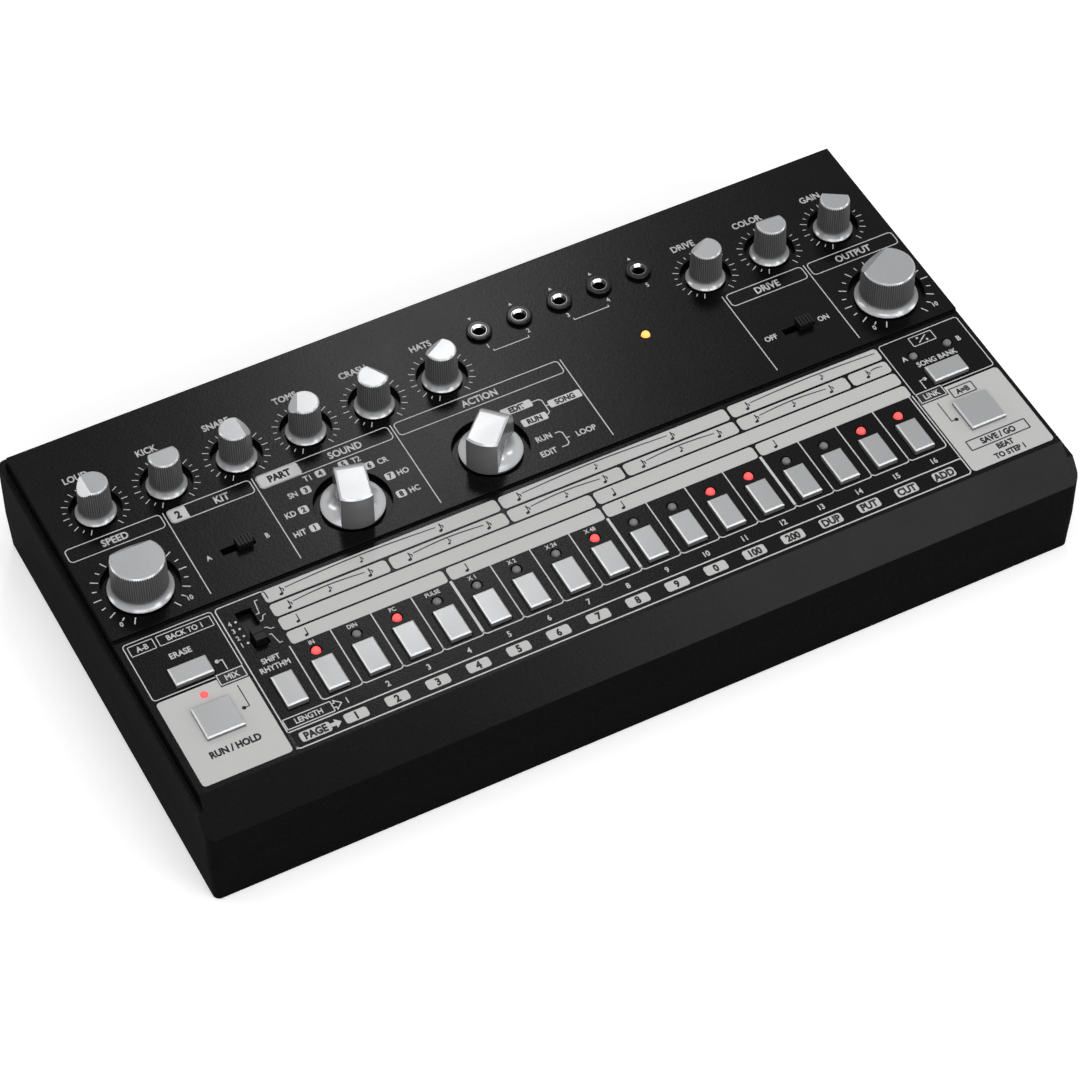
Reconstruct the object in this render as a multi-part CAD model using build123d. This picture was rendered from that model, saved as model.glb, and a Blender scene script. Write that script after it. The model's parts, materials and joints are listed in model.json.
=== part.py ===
from build123d import *
import math
import os

os.makedirs("parts", exist_ok=True)

# Desktop drum machine with sixteen step keys. Millimetres, +Z up, X along the width and +Y to the
# back. Z = 0 is the underside of the rubber feet, and the origin is under the middle of the part.
# A place given as "from_front" is measured from the case's front face, one given as "from_back" from
# its back face, and an inset from its nearer side.

# ---- Case ---------------------------------------------------------------------------------------
case_width = 305.0
case_depth = 162.0
rear_reach = 3.0          # how far the rear sockets stand out behind the case
wall = 2.2                # wall of both case halves
corner_radius = 3.0       # upright corners of the case
foot_drop = 0.5           # how far the feet stand out under the case
parting_z = 16.2          # joint between the two halves
kink_z = 30.9             # top of the upright front face, where the slope starts
ledge_z = 38.2            # narrow ledge around the raised deck
deck_z = 43.8             # top of the upper deck, with the knobs
deck_drop = 1.1           # how far the key deck lies below the upper deck
deck_plate = 3.5          # thickness of the upper deck
deck_front = 9.7          # from_front of the key deck's front edge
deck_step = 73.9          # from_front of the step between the two decks
rear_ledge = 4.4          # behind the upper deck
side_ledge = 2.6          # beside both decks
deck_flare = 0.7          # how much wider the deck block is at the ledge
tray_taper = 0.8          # how much the bottom half draws in towards its base
lip_height = 1.5          # rim of the bottom half that locates the top half
lip_thickness = 1.2
lip_gap = 0.15
rear_panel_inset = 11.5   # from either side of the case to the window of the rear panel
rear_lintel = 1.0         # strip of the back wall that stays above the rear panel
panel_seam = 0.15         # around the rear panel in its window
tongue_thickness = 1.1    # tongues that keep the rear panel behind the back wall
tongue_reach = 2.0        # past the window's edge
tongue_root = 3.5         # on the rear panel

# ---- Screw towers and board posts ---------------------------------------------------------------
tower_inset = 7.5         # from the sides of the case
front_tower_row = 14.0    # from_front
back_tower_inset = 9.6    # from the back face
back_tower_shift = 14.0   # middle tower at the back, to the left of the left-hand data socket
back_post_row = 54.0      # from_back
middle_post_row = 60.0    # from_front
front_post_row = 21.8
back_post_columns = (0.5, 4.5, 8.5, 10.5)
middle_post_columns = (2, 4.5, 7.5, 9.5)
front_post_columns = (0.5, 10.5)
jack_post_row = 41.0      # from_back
jack_post_inset = 14.5
jack_post_x = (-30.0, 60.0)

# ---- Board levels -------------------------------------------------------------------------------
board_thickness = 1.6
panel_board_top = 31.0
jack_board_top = 15.6
panel_board_front = 18.4  # from_front
panel_board_back = 15.5   # from_back
panel_board_side = 3.0    # gap to the side walls
jack_board_front = 47.0   # from_back
jack_board_rear = 1.4     # gap to the back wall
jack_board_side = 4.0
chip_height = 1.7
voice_chip = (9.9, 6.0)
voice_chip_row = 84.0     # from_front
voice_chip_x = (-100.0, -36.0, 0.0, 24.0, 60.0, 88.0)
processor_size = 14.0
processor_row = 50.0
output_chip_row = 26.0    # from_back
output_chip_x = (-90.0, -20.0, 10.0)
capacitor_radius = 3.2
capacitor_height = 7.0
capacitor_row = 31.0      # from_back
capacitor_x = (82.0, 92.0, 102.0, 122.0)
ribbon_width = 26.0
ribbon_thickness = 0.9
ribbon_x = -60.0
plug_depth = 6.0
plug_height = 3.0
upper_plug_row = 52.0     # from_back
lower_plug_row = 38.0
ribbon_bend_row = 64.0

# ---- Rows and columns of controls ---------------------------------------------------------------
column_inset = 19.2       # outermost of the evenly spaced columns, on either side
column_count = 12
slide_inset = 52.3        # two-place slide switches, on either side
function_inset = 42.82    # function key, ahead of the first step key
shift_right = 0.2         # the two right-hand buttons and the scale switch sit this far right
row_small_knobs = 36.9    # from_back
row_jacks = 25.7
row_power_led = 51.2
row_large_knobs = 90.4    # from_front
row_leds = 43.0
row_keys = 32.6
row_upper_keys = 52.6
row_bank_leds = 63.0
row_scale = 59.7
step_count = 16
panel_jack_count = 5
panel_jack_gap = 19.1     # outer jacks from the knobs on either side of their row
power_led_shift = 11.0    # to the left of the last jack
bank_led_shifts = (-6.0, 6.7)  # from the outermost column on the right

# ---- Knobs --------------------------------------------------------------------------------------
knob_height = 12.6        # top of every knob above the upper deck
knob_sink = 1.3           # how far the skirts reach down into their wells
well_depth = 2.2
small_well_radius = 8.4
large_well_radius = 12.6
small_knob = {"skirt": 6.6, "base": 5.45, "top": 5.05, "flutes": 44, "cut": 2.1}
large_knob = {"skirt": 10.5, "base": 9.0, "top": 8.75, "flutes": 72, "cut": 4.9}
flute_depth = 0.32
crown_drop = 0.95         # height of the bevel around the top face
crown_inset = 0.6
crown_foot = 0.08         # how far the bevel's foot stands out past the top of the flutes
skirt_edge = 0.3          # upright edge around the foot of a knob
skirt_rise = 3.7          # height of a hollow-sided skirt that the flutes run out on
skirt_hollow = 5.0        # radius of its side
skirt_sink = 0.1          # its top edge, inside the foot of the flutes
cut_slope = 45.0          # pointer flat against the top face, in degrees
pot_shaft_radius = 3.0
shaft_hole_gap = 0.5
press_gap = 0.02          # between a pressed-on cap and its shaft
bush_gap = 0.05           # between a shaft and the bush it turns in

selector_skirt = 10.35
pointer_nose = 2.8        # reach of the flat top ahead of the axis
pointer_tip = 9.4         # reach of the pointer's foot ahead of the axis
pointer_tail = selector_skirt
pointer_nose_width = 9.4
pointer_tail_width = 10.5
pointer_bevel = 0.6
pointer_toe = 0.9         # how far the foot of the nose leans out
pointer_drop = 6.2        # height of the hollow curve in the nose
pointer_curve = 9.0       # its radius
selector_edge = 0.7       # upright edge around the foot of a selector
selector_rise = 4.2       # top of its hollow-sided skirt above the deck
selector_hollow = 7.0     # radius of its side
pot_body_size = 9.8
pot_body_height = 6.6
rotary_body_size = 13.5
rotary_body_height = 7.4
bush_radius = 3.45
bush_drop = 0.4           # top of a bush below the floor of its well
shaft_lift = 0.6          # foot of a shaft above the board
shaft_foot_gap = 0.3
shaft_flat = 1.5          # depth of the D-shaped flat on a shaft
shaft_cover = 3.6         # thickness of a knob above its shaft

# Direction of each knob's pointer, counter-clockwise from +X, in degrees.
small_knobs = {
    "accent_knob": (0, 180.0),
    "kick_knob": (1, 90.0),
    "snare_knob": (2, 0.0),
    "toms_knob": (3, 155.0),
    "cymbal_knob": (4, 30.0),
    "hats_knob": (5, 120.0),
    "drive_knob": (9, 120.0),
    "tone_knob": (10, 87.0),
    "level_knob": (11, 58.0),
}
tempo_direction = 90.0
volume_direction = 118.0
instrument_direction = 75.0
mode_direction = 45.0

# ---- Keys and switches --------------------------------------------------------------------------
key_rise = 1.65           # top of a key above the key deck
key_gap = 0.35            # around a key in its opening
key_travel = 0.7
key_bevel = 0.45
key_flange = 0.9          # lip under the deck that keeps a key in
key_flange_height = 1.0
flange_gap = 0.3
step_key_width = 7.0
key_length = 12.6         # front to back, and the width of the four side buttons
short_key_length = 7.0
tact_size = 6.0
tact_height = 3.5
plunger_radius = 1.6
plunger_gap = 0.35
plunger_reach = 1.5       # plunger above its switch body
plunger_floor = 0.6       # floor of a switch body under its pressed plunger
well_bottom = 0.1         # how much deeper the plunger's well is
key_shell = 1.2           # wall of a hollow key
key_roof = 0.4            # inside of a key's top below the deck around it
key_stem = 3.0
slot_length = 11.3
slot_width = 2.6
scale_slot_length = 15.3
scale_slot_width = 5.3
slider_length = 5.0
slider_width = 4.0
slider_rise = 2.7
slider_gap = 0.2          # under a cap that reaches past its slot, and above a shutter
slide_travel = 4.0
scale_slider_length = 5.3
scale_slider_width = 3.8
scale_pitch = 3.03        # between the four places of the scale switch
shutter_thickness = 0.9   # plate under the deck that closes the slot around a slider
shutter_lap = 1.0         # on either side of the slot
lever_size = 2.0
lever_gap = 0.3
slide_body_wall = 1.6
slide_body_height = 5.0
slide_body_floor = 0.9
scale_places = 4
power_knob_size = 3.6
power_knob_reach = 1.8    # behind the back face
power_travel = 4.0
power_body_depth = 6.0
power_slot_width = 8.4
power_slot_height = 4.4
wall_gap = 0.2            # between the back wall and what stands on the jack board behind it
rib_width = 0.55
rib_depth = 0.45
rib_count = 5
middle_groove = 0.25      # line across the middle of the scale slider

# ---- Lamps and sockets --------------------------------------------------------------------------
led_radius = 1.5
led_hole_gap = 0.35
led_rise = 0.9            # top of a lamp above the deck around it
led_flange = 0.4
led_body = 5.2
led_flange_height = 0.8
led_leg = 0.5
led_leg_spacing = 1.27
mini_bore = 1.8
mini_bore_length = 14.0
mini_bush = 2.75
mini_funnel = 0.65         # widening of the bore at its mouth
mini_funnel_depth = 0.8
mini_body_width = 9.0
mini_body_depth = 10.5
mini_body_height = 8.0
mini_nut_radius = 4.25
mini_nut_height = 1.6
mini_nut_round = 0.7
mini_nut_bevel = 0.2      # around its hole
bush_stand = 0.15         # bush top below its nut's top
mix_bore = 3.2
mix_bore_length = 28.0
mix_bush = 4.5
mix_nut_radius = 6.5
mix_nut_thickness = 2.0
mix_body_width = 15.0
rear_mini_count = 8
mix_jack_inset = 28.5
power_switch_inset = 20.5
dc_inset = 40.5
usb_inset = 60.5
din_insets = (86.5, 110.5)
voice_row_start = 26.0    # first voice socket, from the mix socket
voice_row_end = 28.0      # last voice socket, from the left-hand data socket
mini_axis_rise = 6.0      # axis of each rear socket above its board
mix_axis_rise = 6.6
dc_axis_rise = 6.6
usb_axis_rise = 5.8
din_axis_rise = 10.2
power_axis_rise = 6.6
socket_hole_gap = 0.2
mix_body_depth = 24.0
din_nose_radius = 7.2
din_body_width = 19.0
din_body_depth = 12.0
din_core_radius = 5.6
din_groove_radius = 6.5
din_groove_depth = 9.0
din_pin_radius = 0.75
din_pin_ring = 3.55
din_pin_depth = 8.0
din_pin_angles = (0, 45, 90, 135, 180)
usb_window_width = 9.4
usb_window_height = 8.8
usb_shell_width = 12.0
usb_shell_depth = 16.0
usb_mouth_width = 8.5
usb_mouth_height = 7.8
usb_mouth_depth = 9.0
usb_tongue_width = 5.6
usb_tongue_height = 3.2
usb_tongue_recess = 1.2
dc_window_radius = 4.0
dc_body_width = 9.0
dc_body_depth = 13.5
dc_mouth_radius = 3.1
dc_mouth_depth = 9.5
dc_pin_radius = 1.0
dc_pin_recess = 1.0

# ---- Fasteners and feet -------------------------------------------------------------------------
screw_radius = 1.5
screw_head_radius = 2.8
screw_head_height = 1.8
pilot_radius = 1.5
case_post_radius = 3.7
case_screw_length = 22.0
recess_radius = 3.2
board_post_radius = 3.0
board_screw_length = 7.0
board_head_height = 1.4
post_hole_gap = 0.5
cross_length = 2.6
cross_width = 0.7
cross_angle = 45.0
foot_radius = 6.0
foot_recess = 1.2
foot_inset_x = 22.0
foot_inset_y = 18.0

# ---- Derived places -----------------------------------------------------------------------------
overall_depth = case_depth + rear_reach
front_y = -overall_depth / 2
back_y = front_y + case_depth
rear_body_back = back_y - wall - wall_gap
key_deck_z = deck_z - deck_drop
deck_under = deck_z - deck_plate
panel_board_under = panel_board_top - board_thickness
jack_board_under = jack_board_top - board_thickness
tray_floor = foot_drop + wall
knob_top = deck_z + knob_height
well_floor = deck_z - well_depth
deck_back = case_depth - rear_ledge
deck_half_width = case_width / 2 - side_ledge
column_edge = case_width / 2 - column_inset
knob_pitch = 2 * column_edge / (column_count - 1)
slide_column = case_width / 2 - slide_inset
function_x = function_inset - case_width / 2
step_pitch = -2 * function_x / step_count
power_switch_x = case_width / 2 - power_switch_inset
dc_x = case_width / 2 - dc_inset
usb_x = case_width / 2 - usb_inset
din_x = [case_width / 2 - inset for inset in din_insets]
mix_jack_x = mix_jack_inset - case_width / 2
back_tower_x = din_x[-1] - back_tower_shift
window_half = case_width / 2 - rear_panel_inset
window_top = ledge_z - wall - rear_lintel

BASE = (Align.CENTER, Align.CENTER, Align.MIN)


def at(from_front):
    """Y of a place measured from the case's front face."""
    return front_y + from_front


def back_at(from_back):
    """Y of a place measured from the case's back face."""
    return back_y - from_back


def block(width, depth, low, high, x=0.0, y=0.0):
    """Upright box between two heights, centred on (x, y)."""
    return Pos(x, y, low) * Box(width, depth, high - low, align=BASE)


def rod(radius, low, high, x=0.0, y=0.0):
    """Upright cylinder between two heights."""
    return Pos(x, y, low) * Cylinder(radius, high - low, align=BASE)


def rod_back(radius, front, back, x, z):
    """Cylinder that lies along Y."""
    return Pos(x, front, z) * Rot(-90, 0, 0) * Cylinder(radius, back - front, align=BASE)


def block_back(width, height, front, back, x, z):
    """Box along Y, centred on (x, z)."""
    return Pos(x, (front + back) / 2, z) * Box(width, back - front, height)


def side_prism(points, width):
    """Prism along X from a closed outline of (y, z) points."""
    return extrude(Plane.YZ * Polygon(*points, align=None), width / 2, both=True)


def turned(points):
    """Solid of revolution about Z from a closed outline of (radius, z) points."""
    return revolve(Plane.XZ * Polygon(*points, align=None), Axis.Z)


def save(name, *shapes):
    """Writes one sub-part, with every solid of it kept separate."""
    solids = [solid for shape in shapes for solid in shape.solids()]
    export_step(Compound(solids), "parts/" + name + ".step")


# ---- Places of the controls, shared by the deck, the boards and the pieces -----------------------
def column(index):
    """X of one of the columns of the upper deck, counted from 0."""
    return -column_edge + index * knob_pitch


def step_x(step):
    """X of a step key, 1 to 16."""
    return function_x + step * step_pitch


small_knob_places = {name: (column(index), back_at(row_small_knobs))
                     for name, (index, direction) in small_knobs.items()}
large_knob_places = {
    "tempo_knob": (column(0), at(row_large_knobs)),
    "volume_knob": (column(11), at(row_large_knobs)),
}
selector_places = {
    "instrument_selector": (column(3), at(row_large_knobs)),
    "mode_selector": (column(5), at(row_large_knobs)),
}
slide_places = {
    "voice_slider": (-slide_column, at(row_large_knobs)),
    "drive_slider": (slide_column, at(row_large_knobs)),
}
scale_place = (function_x + shift_right, at(row_scale))
keys = {"step_key_%02d" % step: (step_x(step), at(row_keys), step_key_width, key_length)
        for step in range(1, step_count + 1)}
keys["function_key"] = (function_x, at(row_keys), step_key_width, key_length)
keys["clear_button"] = (-column_edge, at(row_upper_keys), key_length, short_key_length)
keys["bank_button"] = (column_edge + shift_right, at(row_upper_keys), key_length, short_key_length)
keys["start_stop_button"] = (-column_edge, at(row_keys), key_length, key_length)
keys["write_button"] = (column_edge + shift_right, at(row_keys), key_length, key_length)
step_led_places = [(step_x(step), at(row_leds)) for step in range(1, step_count + 1)]
status_led_places = [(-column_edge, at(row_leds))]
status_led_places += [(column_edge + shift, at(row_bank_leds)) for shift in bank_led_shifts]
first_jack_x = column(5) + panel_jack_gap
last_jack_x = column(9) - panel_jack_gap
jack_pitch = (last_jack_x - first_jack_x) / (panel_jack_count - 1)
panel_jack_places = [(first_jack_x + i * jack_pitch, back_at(row_jacks)) for i in range(panel_jack_count)]
power_led_place = (last_jack_x - power_led_shift, back_at(row_power_led))
last_mini_x = din_x[-1] - voice_row_end
rear_mini_pitch = (last_mini_x - mix_jack_x - voice_row_start) / (rear_mini_count - 1)
rear_mini_x = [last_mini_x - i * rear_mini_pitch for i in range(rear_mini_count)]
mini_z = jack_board_top + mini_axis_rise
mix_z = jack_board_top + mix_axis_rise
dc_z = jack_board_top + dc_axis_rise
usb_z = jack_board_top + usb_axis_rise
din_z = jack_board_top + din_axis_rise
power_z = jack_board_top + power_axis_rise

tower_x = case_width / 2 - tower_inset
front_towers = [(x, at(front_tower_row)) for x in (-tower_x, 0.0, tower_x)]
back_towers = [(x, back_at(back_tower_inset)) for x in (-tower_x, back_tower_x, tower_x)]
case_posts = front_towers + back_towers
panel_posts = [(column(index), back_at(back_post_row)) for index in back_post_columns]
panel_posts += [(column(index), at(middle_post_row)) for index in middle_post_columns]
panel_posts += [(column(index), at(front_post_row)) for index in front_post_columns]
jack_post_edge = case_width / 2 - jack_post_inset
jack_posts = [(x, back_at(jack_post_row)) for x in (-jack_post_edge, *jack_post_x, jack_post_edge)]
feet = [(sx * (case_width / 2 - foot_inset_x), sy * (case_depth / 2 - foot_inset_y) + at(case_depth / 2))
        for sx in (-1, 1) for sy in (-1, 1)]

# ---- Top case -----------------------------------------------------------------------------------
slope_run = deck_front
slope_rise = key_deck_z - kink_z
slope_length = math.hypot(slope_run, slope_rise)


def slope_inside(z):
    """from_front of the inside of the sloped front at a height."""
    start_y = wall * slope_rise / slope_length
    start_z = kink_z - wall * slope_run / slope_length
    return start_y + (z - start_z) * slope_run / slope_rise


def rounded_box(width, depth, radius, low, high, y):
    """Box with rounded upright corners."""
    return Pos(0, y, low) * extrude(RectangleRounded(width, depth, radius), high - low)


case_middle = at(case_depth / 2)
deck_foot_depth = deck_back + deck_flare
deck_angle = math.degrees(math.atan2(deck_flare, deck_z - ledge_z))
deck_foot = Rectangle(2 * (deck_half_width + deck_flare), deck_foot_depth)
deck_block = Pos(0, at(deck_foot_depth / 2), ledge_z) * extrude(deck_foot, deck_z - ledge_z, taper=deck_angle)
outer = rounded_box(case_width, case_depth, corner_radius, parting_z, ledge_z, case_middle) + deck_block
outer = outer & side_prism(
    [(front_y, parting_z), (front_y, kink_z), (at(deck_front), key_deck_z), (at(deck_step), key_deck_z),
     (at(deck_step), deck_z), (back_y, deck_z), (back_y, parting_z)],
    case_width,
)
inside_width = case_width - 2 * wall
inside_depth = case_depth - 2 * wall
inside_radius = corner_radius - wall / 2
inner = rounded_box(inside_width, inside_depth, inside_radius, parting_z, ledge_z - wall, case_middle)
inner_deck_depth = deck_back - 2 * wall
inner += block(2 * (deck_half_width - wall), inner_deck_depth, ledge_z - wall, deck_under,
               0, at(wall + inner_deck_depth / 2))
inner = inner & side_prism(
    [(front_y, parting_z), (at(wall), parting_z), (at(wall), kink_z - wall / 2),
     (at(slope_inside(kink_z)), kink_z), (at(slope_inside(deck_under)), deck_under),
     (back_y, deck_under), (back_y, parting_z)],
    case_width,
)
top_case = outer - inner

for x, y in case_posts:
    top_case += rod(case_post_radius, parting_z, deck_under, x, y)
    top_case -= rod(pilot_radius, parting_z, parting_z + case_screw_length, x, y)
for x, y in panel_posts:
    top_case += rod(board_post_radius, panel_board_top, deck_under, x, y)
    top_case -= rod(pilot_radius, panel_board_top, panel_board_top + board_screw_length, x, y)

# Wells with a hole for each shaft, or an opening for each key, slider, lamp and socket.
cuts = []
for x, y in small_knob_places.values():
    cuts.append(rod(small_well_radius, well_floor, deck_z, x, y))
    cuts.append(rod(pot_shaft_radius + shaft_hole_gap, deck_under, well_floor, x, y))
for x, y in list(large_knob_places.values()) + list(selector_places.values()):
    cuts.append(rod(large_well_radius, well_floor, deck_z, x, y))
    cuts.append(rod(pot_shaft_radius + shaft_hole_gap, deck_under, well_floor, x, y))
for x, y in slide_places.values():
    cuts.append(block(slot_length, slot_width, deck_under, deck_z, x, y))
cuts.append(block(scale_slot_width, scale_slot_length, deck_under, key_deck_z, *scale_place))
for x, y, width, length in keys.values():
    cuts.append(block(width + 2 * key_gap, length + 2 * key_gap, deck_under, key_deck_z, x, y))
for x, y in step_led_places + status_led_places:
    cuts.append(rod(led_radius + led_hole_gap, deck_under, key_deck_z, x, y))
cuts.append(rod(led_radius + led_hole_gap, deck_under, deck_z, *power_led_place))
for x, y in panel_jack_places:
    cuts.append(rod(mini_bush + socket_hole_gap, deck_under, deck_z, x, y))
cuts.append(block(2 * window_half, wall, parting_z, window_top, 0, back_y - wall / 2))
top_case = top_case - cuts
save("top_case", top_case)

# ---- Rear panel: a plate in the back wall's window, on the rim of the tray, held by a tongue at each end
plate_half = window_half - panel_seam
plate_top = window_top - panel_seam
rear_panel = block(2 * plate_half, wall, parting_z, plate_top, 0, back_y - wall / 2)
tongue_width = tongue_root + tongue_reach
tongue_x = window_half + tongue_reach - tongue_width / 2
tongue_y = back_y - wall - tongue_thickness / 2
for side in (-1, 1):
    rear_panel += block(tongue_width, tongue_thickness, parting_z, plate_top, side * tongue_x, tongue_y)
holes = [rod_back(mini_bush + socket_hole_gap, back_y - wall, back_y, x, mini_z) for x in rear_mini_x]
holes.append(rod_back(mix_bush + socket_hole_gap, back_y - wall, back_y, mix_jack_x, mix_z))
for x in din_x:
    holes.append(rod_back(din_nose_radius + socket_hole_gap, back_y - wall, back_y, x, din_z))
holes.append(block_back(usb_window_width, usb_window_height, back_y - wall, back_y, usb_x, usb_z))
holes.append(rod_back(dc_window_radius, back_y - wall, back_y, dc_x, dc_z))
holes.append(block_back(power_slot_width, power_slot_height, back_y - wall, back_y, power_switch_x, power_z))
rear_panel = rear_panel - holes
save("rear_panel", rear_panel)

# ---- Bottom case: a tray with a locating rim, screw towers and board posts -------------------------
tray_angle = math.degrees(math.atan2(tray_taper, parting_z - foot_drop))


def tray(width, depth, radius, low, high):
    """Tray outline that draws in towards its base, built from the parting line down."""
    shape = Pos(0, case_middle, high) * RectangleRounded(width, depth, radius)
    return extrude(shape, high - low, dir=(0, 0, -1), taper=tray_angle)


bottom_case = tray(case_width, case_depth, corner_radius, foot_drop, parting_z)
bottom_case -= tray(inside_width, inside_depth, inside_radius, tray_floor, parting_z)
rim_foot = parting_z - 2 * lip_thickness
rim = rounded_box(inside_width, inside_depth, inside_radius, rim_foot, parting_z, case_middle)
rim += rounded_box(inside_width - 2 * lip_gap, inside_depth - 2 * lip_gap, inside_radius, parting_z,
                   parting_z + lip_height, case_middle)
rim_inside = 2 * (lip_gap + lip_thickness)
rim -= block(inside_width - rim_inside, inside_depth - rim_inside, rim_foot, deck_z, 0, case_middle)
rim -= block(inside_width - rim_inside, wall, rim_foot, deck_z, 0, back_y - 1.5 * wall)
bottom_case += rim
for x, y in case_posts:
    bottom_case += rod(case_post_radius, foot_drop, parting_z, x, y)
    bottom_case -= rod(case_post_radius + lip_gap, parting_z, deck_z, x, y)
    bottom_case -= rod(screw_radius + lip_gap, foot_drop, parting_z, x, y)
    bottom_case -= rod(recess_radius, foot_drop, tray_floor + screw_head_height, x, y)
for x, y in jack_posts:
    bottom_case += rod(board_post_radius, foot_drop + wall / 2, jack_board_under, x, y)
    bottom_case -= rod(pilot_radius, jack_board_top - board_screw_length, jack_board_under, x, y)
for x, y in feet:
    bottom_case -= rod(foot_radius + lip_gap, foot_drop, foot_drop + foot_recess, x, y)
save("bottom_case", bottom_case)

foot_shapes = []
for x, y in feet:
    foot = rod(foot_radius, 0, foot_drop + foot_recess, x, y)
    foot_shapes.append(chamfer(foot.faces().sort_by(Axis.Z)[0].edges(), foot_drop / 2))
save("rubber_feet", *foot_shapes)

# ---- Circuit boards -----------------------------------------------------------------------------
panel_board_width = inside_width - 2 * panel_board_side
panel_board_depth = case_depth - panel_board_back - panel_board_front
panel_board = block(panel_board_width, panel_board_depth, panel_board_under, panel_board_top,
                    0, at(panel_board_front + panel_board_depth / 2))
for x, y in panel_posts:
    panel_board -= rod(screw_radius + lip_gap, panel_board_under, panel_board_top, x, y)
chip_low = panel_board_under - chip_height
voice_chips = [block(*voice_chip, chip_low, panel_board_under, x, at(voice_chip_row)) for x in voice_chip_x]
processor = block(processor_size, processor_size, chip_low, panel_board_under, 0, at(processor_row))
save("panel_circuit_board", panel_board, processor, *voice_chips)

jack_board_back = wall + jack_board_rear
jack_board_width = inside_width - 2 * jack_board_side
jack_board = block(jack_board_width, jack_board_front - jack_board_back, jack_board_under, jack_board_top,
                   0, back_at((jack_board_front + jack_board_back) / 2))
for x, y in jack_posts:
    jack_board -= rod(screw_radius + lip_gap, jack_board_under, jack_board_top, x, y)
for x, y in back_towers:
    jack_board -= rod(case_post_radius + post_hole_gap, jack_board_under, jack_board_top, x, y)
capacitor_top = jack_board_top + capacitor_height
capacitor_y = back_at(capacitor_row)
capacitors = [rod(capacitor_radius, jack_board_top, capacitor_top, x, capacitor_y) for x in capacitor_x]
output_chips = [block(*voice_chip, jack_board_top, jack_board_top + chip_height, x, back_at(output_chip_row))
                for x in output_chip_x]
save("jack_circuit_board", jack_board, *capacitors, *output_chips)

# ---- Ribbon cable between the boards, with a plug at each end --------------------------------------
upper_plug_y = back_at(upper_plug_row)
lower_plug_y = back_at(lower_plug_row)
bend_y = back_at(ribbon_bend_row)
ribbon_high = panel_board_under - plug_height
ribbon_low = jack_board_top + plug_height
bend_radius = (ribbon_high - ribbon_low) / 2
bend_z = (ribbon_high + ribbon_low) / 2
bend = rod(bend_radius, -ribbon_width / 2, ribbon_width / 2)
bend -= rod(bend_radius - ribbon_thickness, -ribbon_width / 2, ribbon_width / 2)
bend = Pos(ribbon_x, bend_y, bend_z) * Rot(0, 90, 0) * bend
bend_half = block(ribbon_width, 2 * bend_radius, ribbon_low, ribbon_high, ribbon_x, bend_y - bend_radius)
bend = bend & bend_half


def ribbon_run(end, low):
    """Flat stretch of the ribbon from its bend to the far side of a plug."""
    length = end + plug_depth / 2 - bend_y
    return block(ribbon_width, length, low, low + ribbon_thickness, ribbon_x, bend_y + length / 2)


ribbon = bend + ribbon_run(lower_plug_y, ribbon_low)
ribbon += ribbon_run(upper_plug_y, ribbon_high - ribbon_thickness)
upper_plug = block(ribbon_width, plug_depth, ribbon_high, panel_board_under, ribbon_x, upper_plug_y)
lower_plug = block(ribbon_width, plug_depth, jack_board_top, ribbon_low, ribbon_x, lower_plug_y)
save("ribbon_cable", ribbon, upper_plug, lower_plug)

# ---- Potentiometers and rotary switches: static bodies with a bush, and shafts that turn ------------
bush_top = well_floor - bush_drop
shaft_foot = panel_board_top + shaft_lift
shaft_top = knob_top - shaft_cover
skirt_low = deck_z - knob_sink


def control_body(x, y, size, height):
    """Body on the board with a narrow bush around the shaft."""
    shape = block(size, size, panel_board_top, panel_board_top + height, x, y)
    shape += rod(bush_radius, panel_board_top, bush_top, x, y)
    return shape - rod(pot_shaft_radius + bush_gap, shaft_foot - shaft_foot_gap, bush_top, x, y)


pot_places = list(small_knob_places.values()) + list(large_knob_places.values())
save("potentiometer_bodies", *[control_body(x, y, pot_body_size, pot_body_height) for x, y in pot_places])
save("rotary_switch_bodies",
     *[control_body(x, y, rotary_body_size, rotary_body_height) for x, y in selector_places.values()])

flat_low = well_floor
shaft_blank = rod(pot_shaft_radius, shaft_foot, shaft_top)
shaft = shaft_blank - block(2 * pot_shaft_radius, 2 * pot_shaft_radius, flat_low, shaft_top,
                            2 * pot_shaft_radius - shaft_flat, 0)
bore_blank = rod(pot_shaft_radius + press_gap, skirt_low, shaft_top + press_gap)
shaft_bore = bore_blank - block(2 * pot_shaft_radius, 4 * pot_shaft_radius, skirt_low, knob_top,
                                2 * pot_shaft_radius - shaft_flat + press_gap, 0)


def star(radius, points, depth):
    """Fluted outline with sharp ridges."""
    ring = []
    for i in range(2 * points):
        reach = radius if i % 2 == 0 else radius - depth
        angle = math.pi * i / points
        ring.append((reach * math.cos(angle), reach * math.sin(angle)))
    return Polygon(*ring, align=None)


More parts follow.
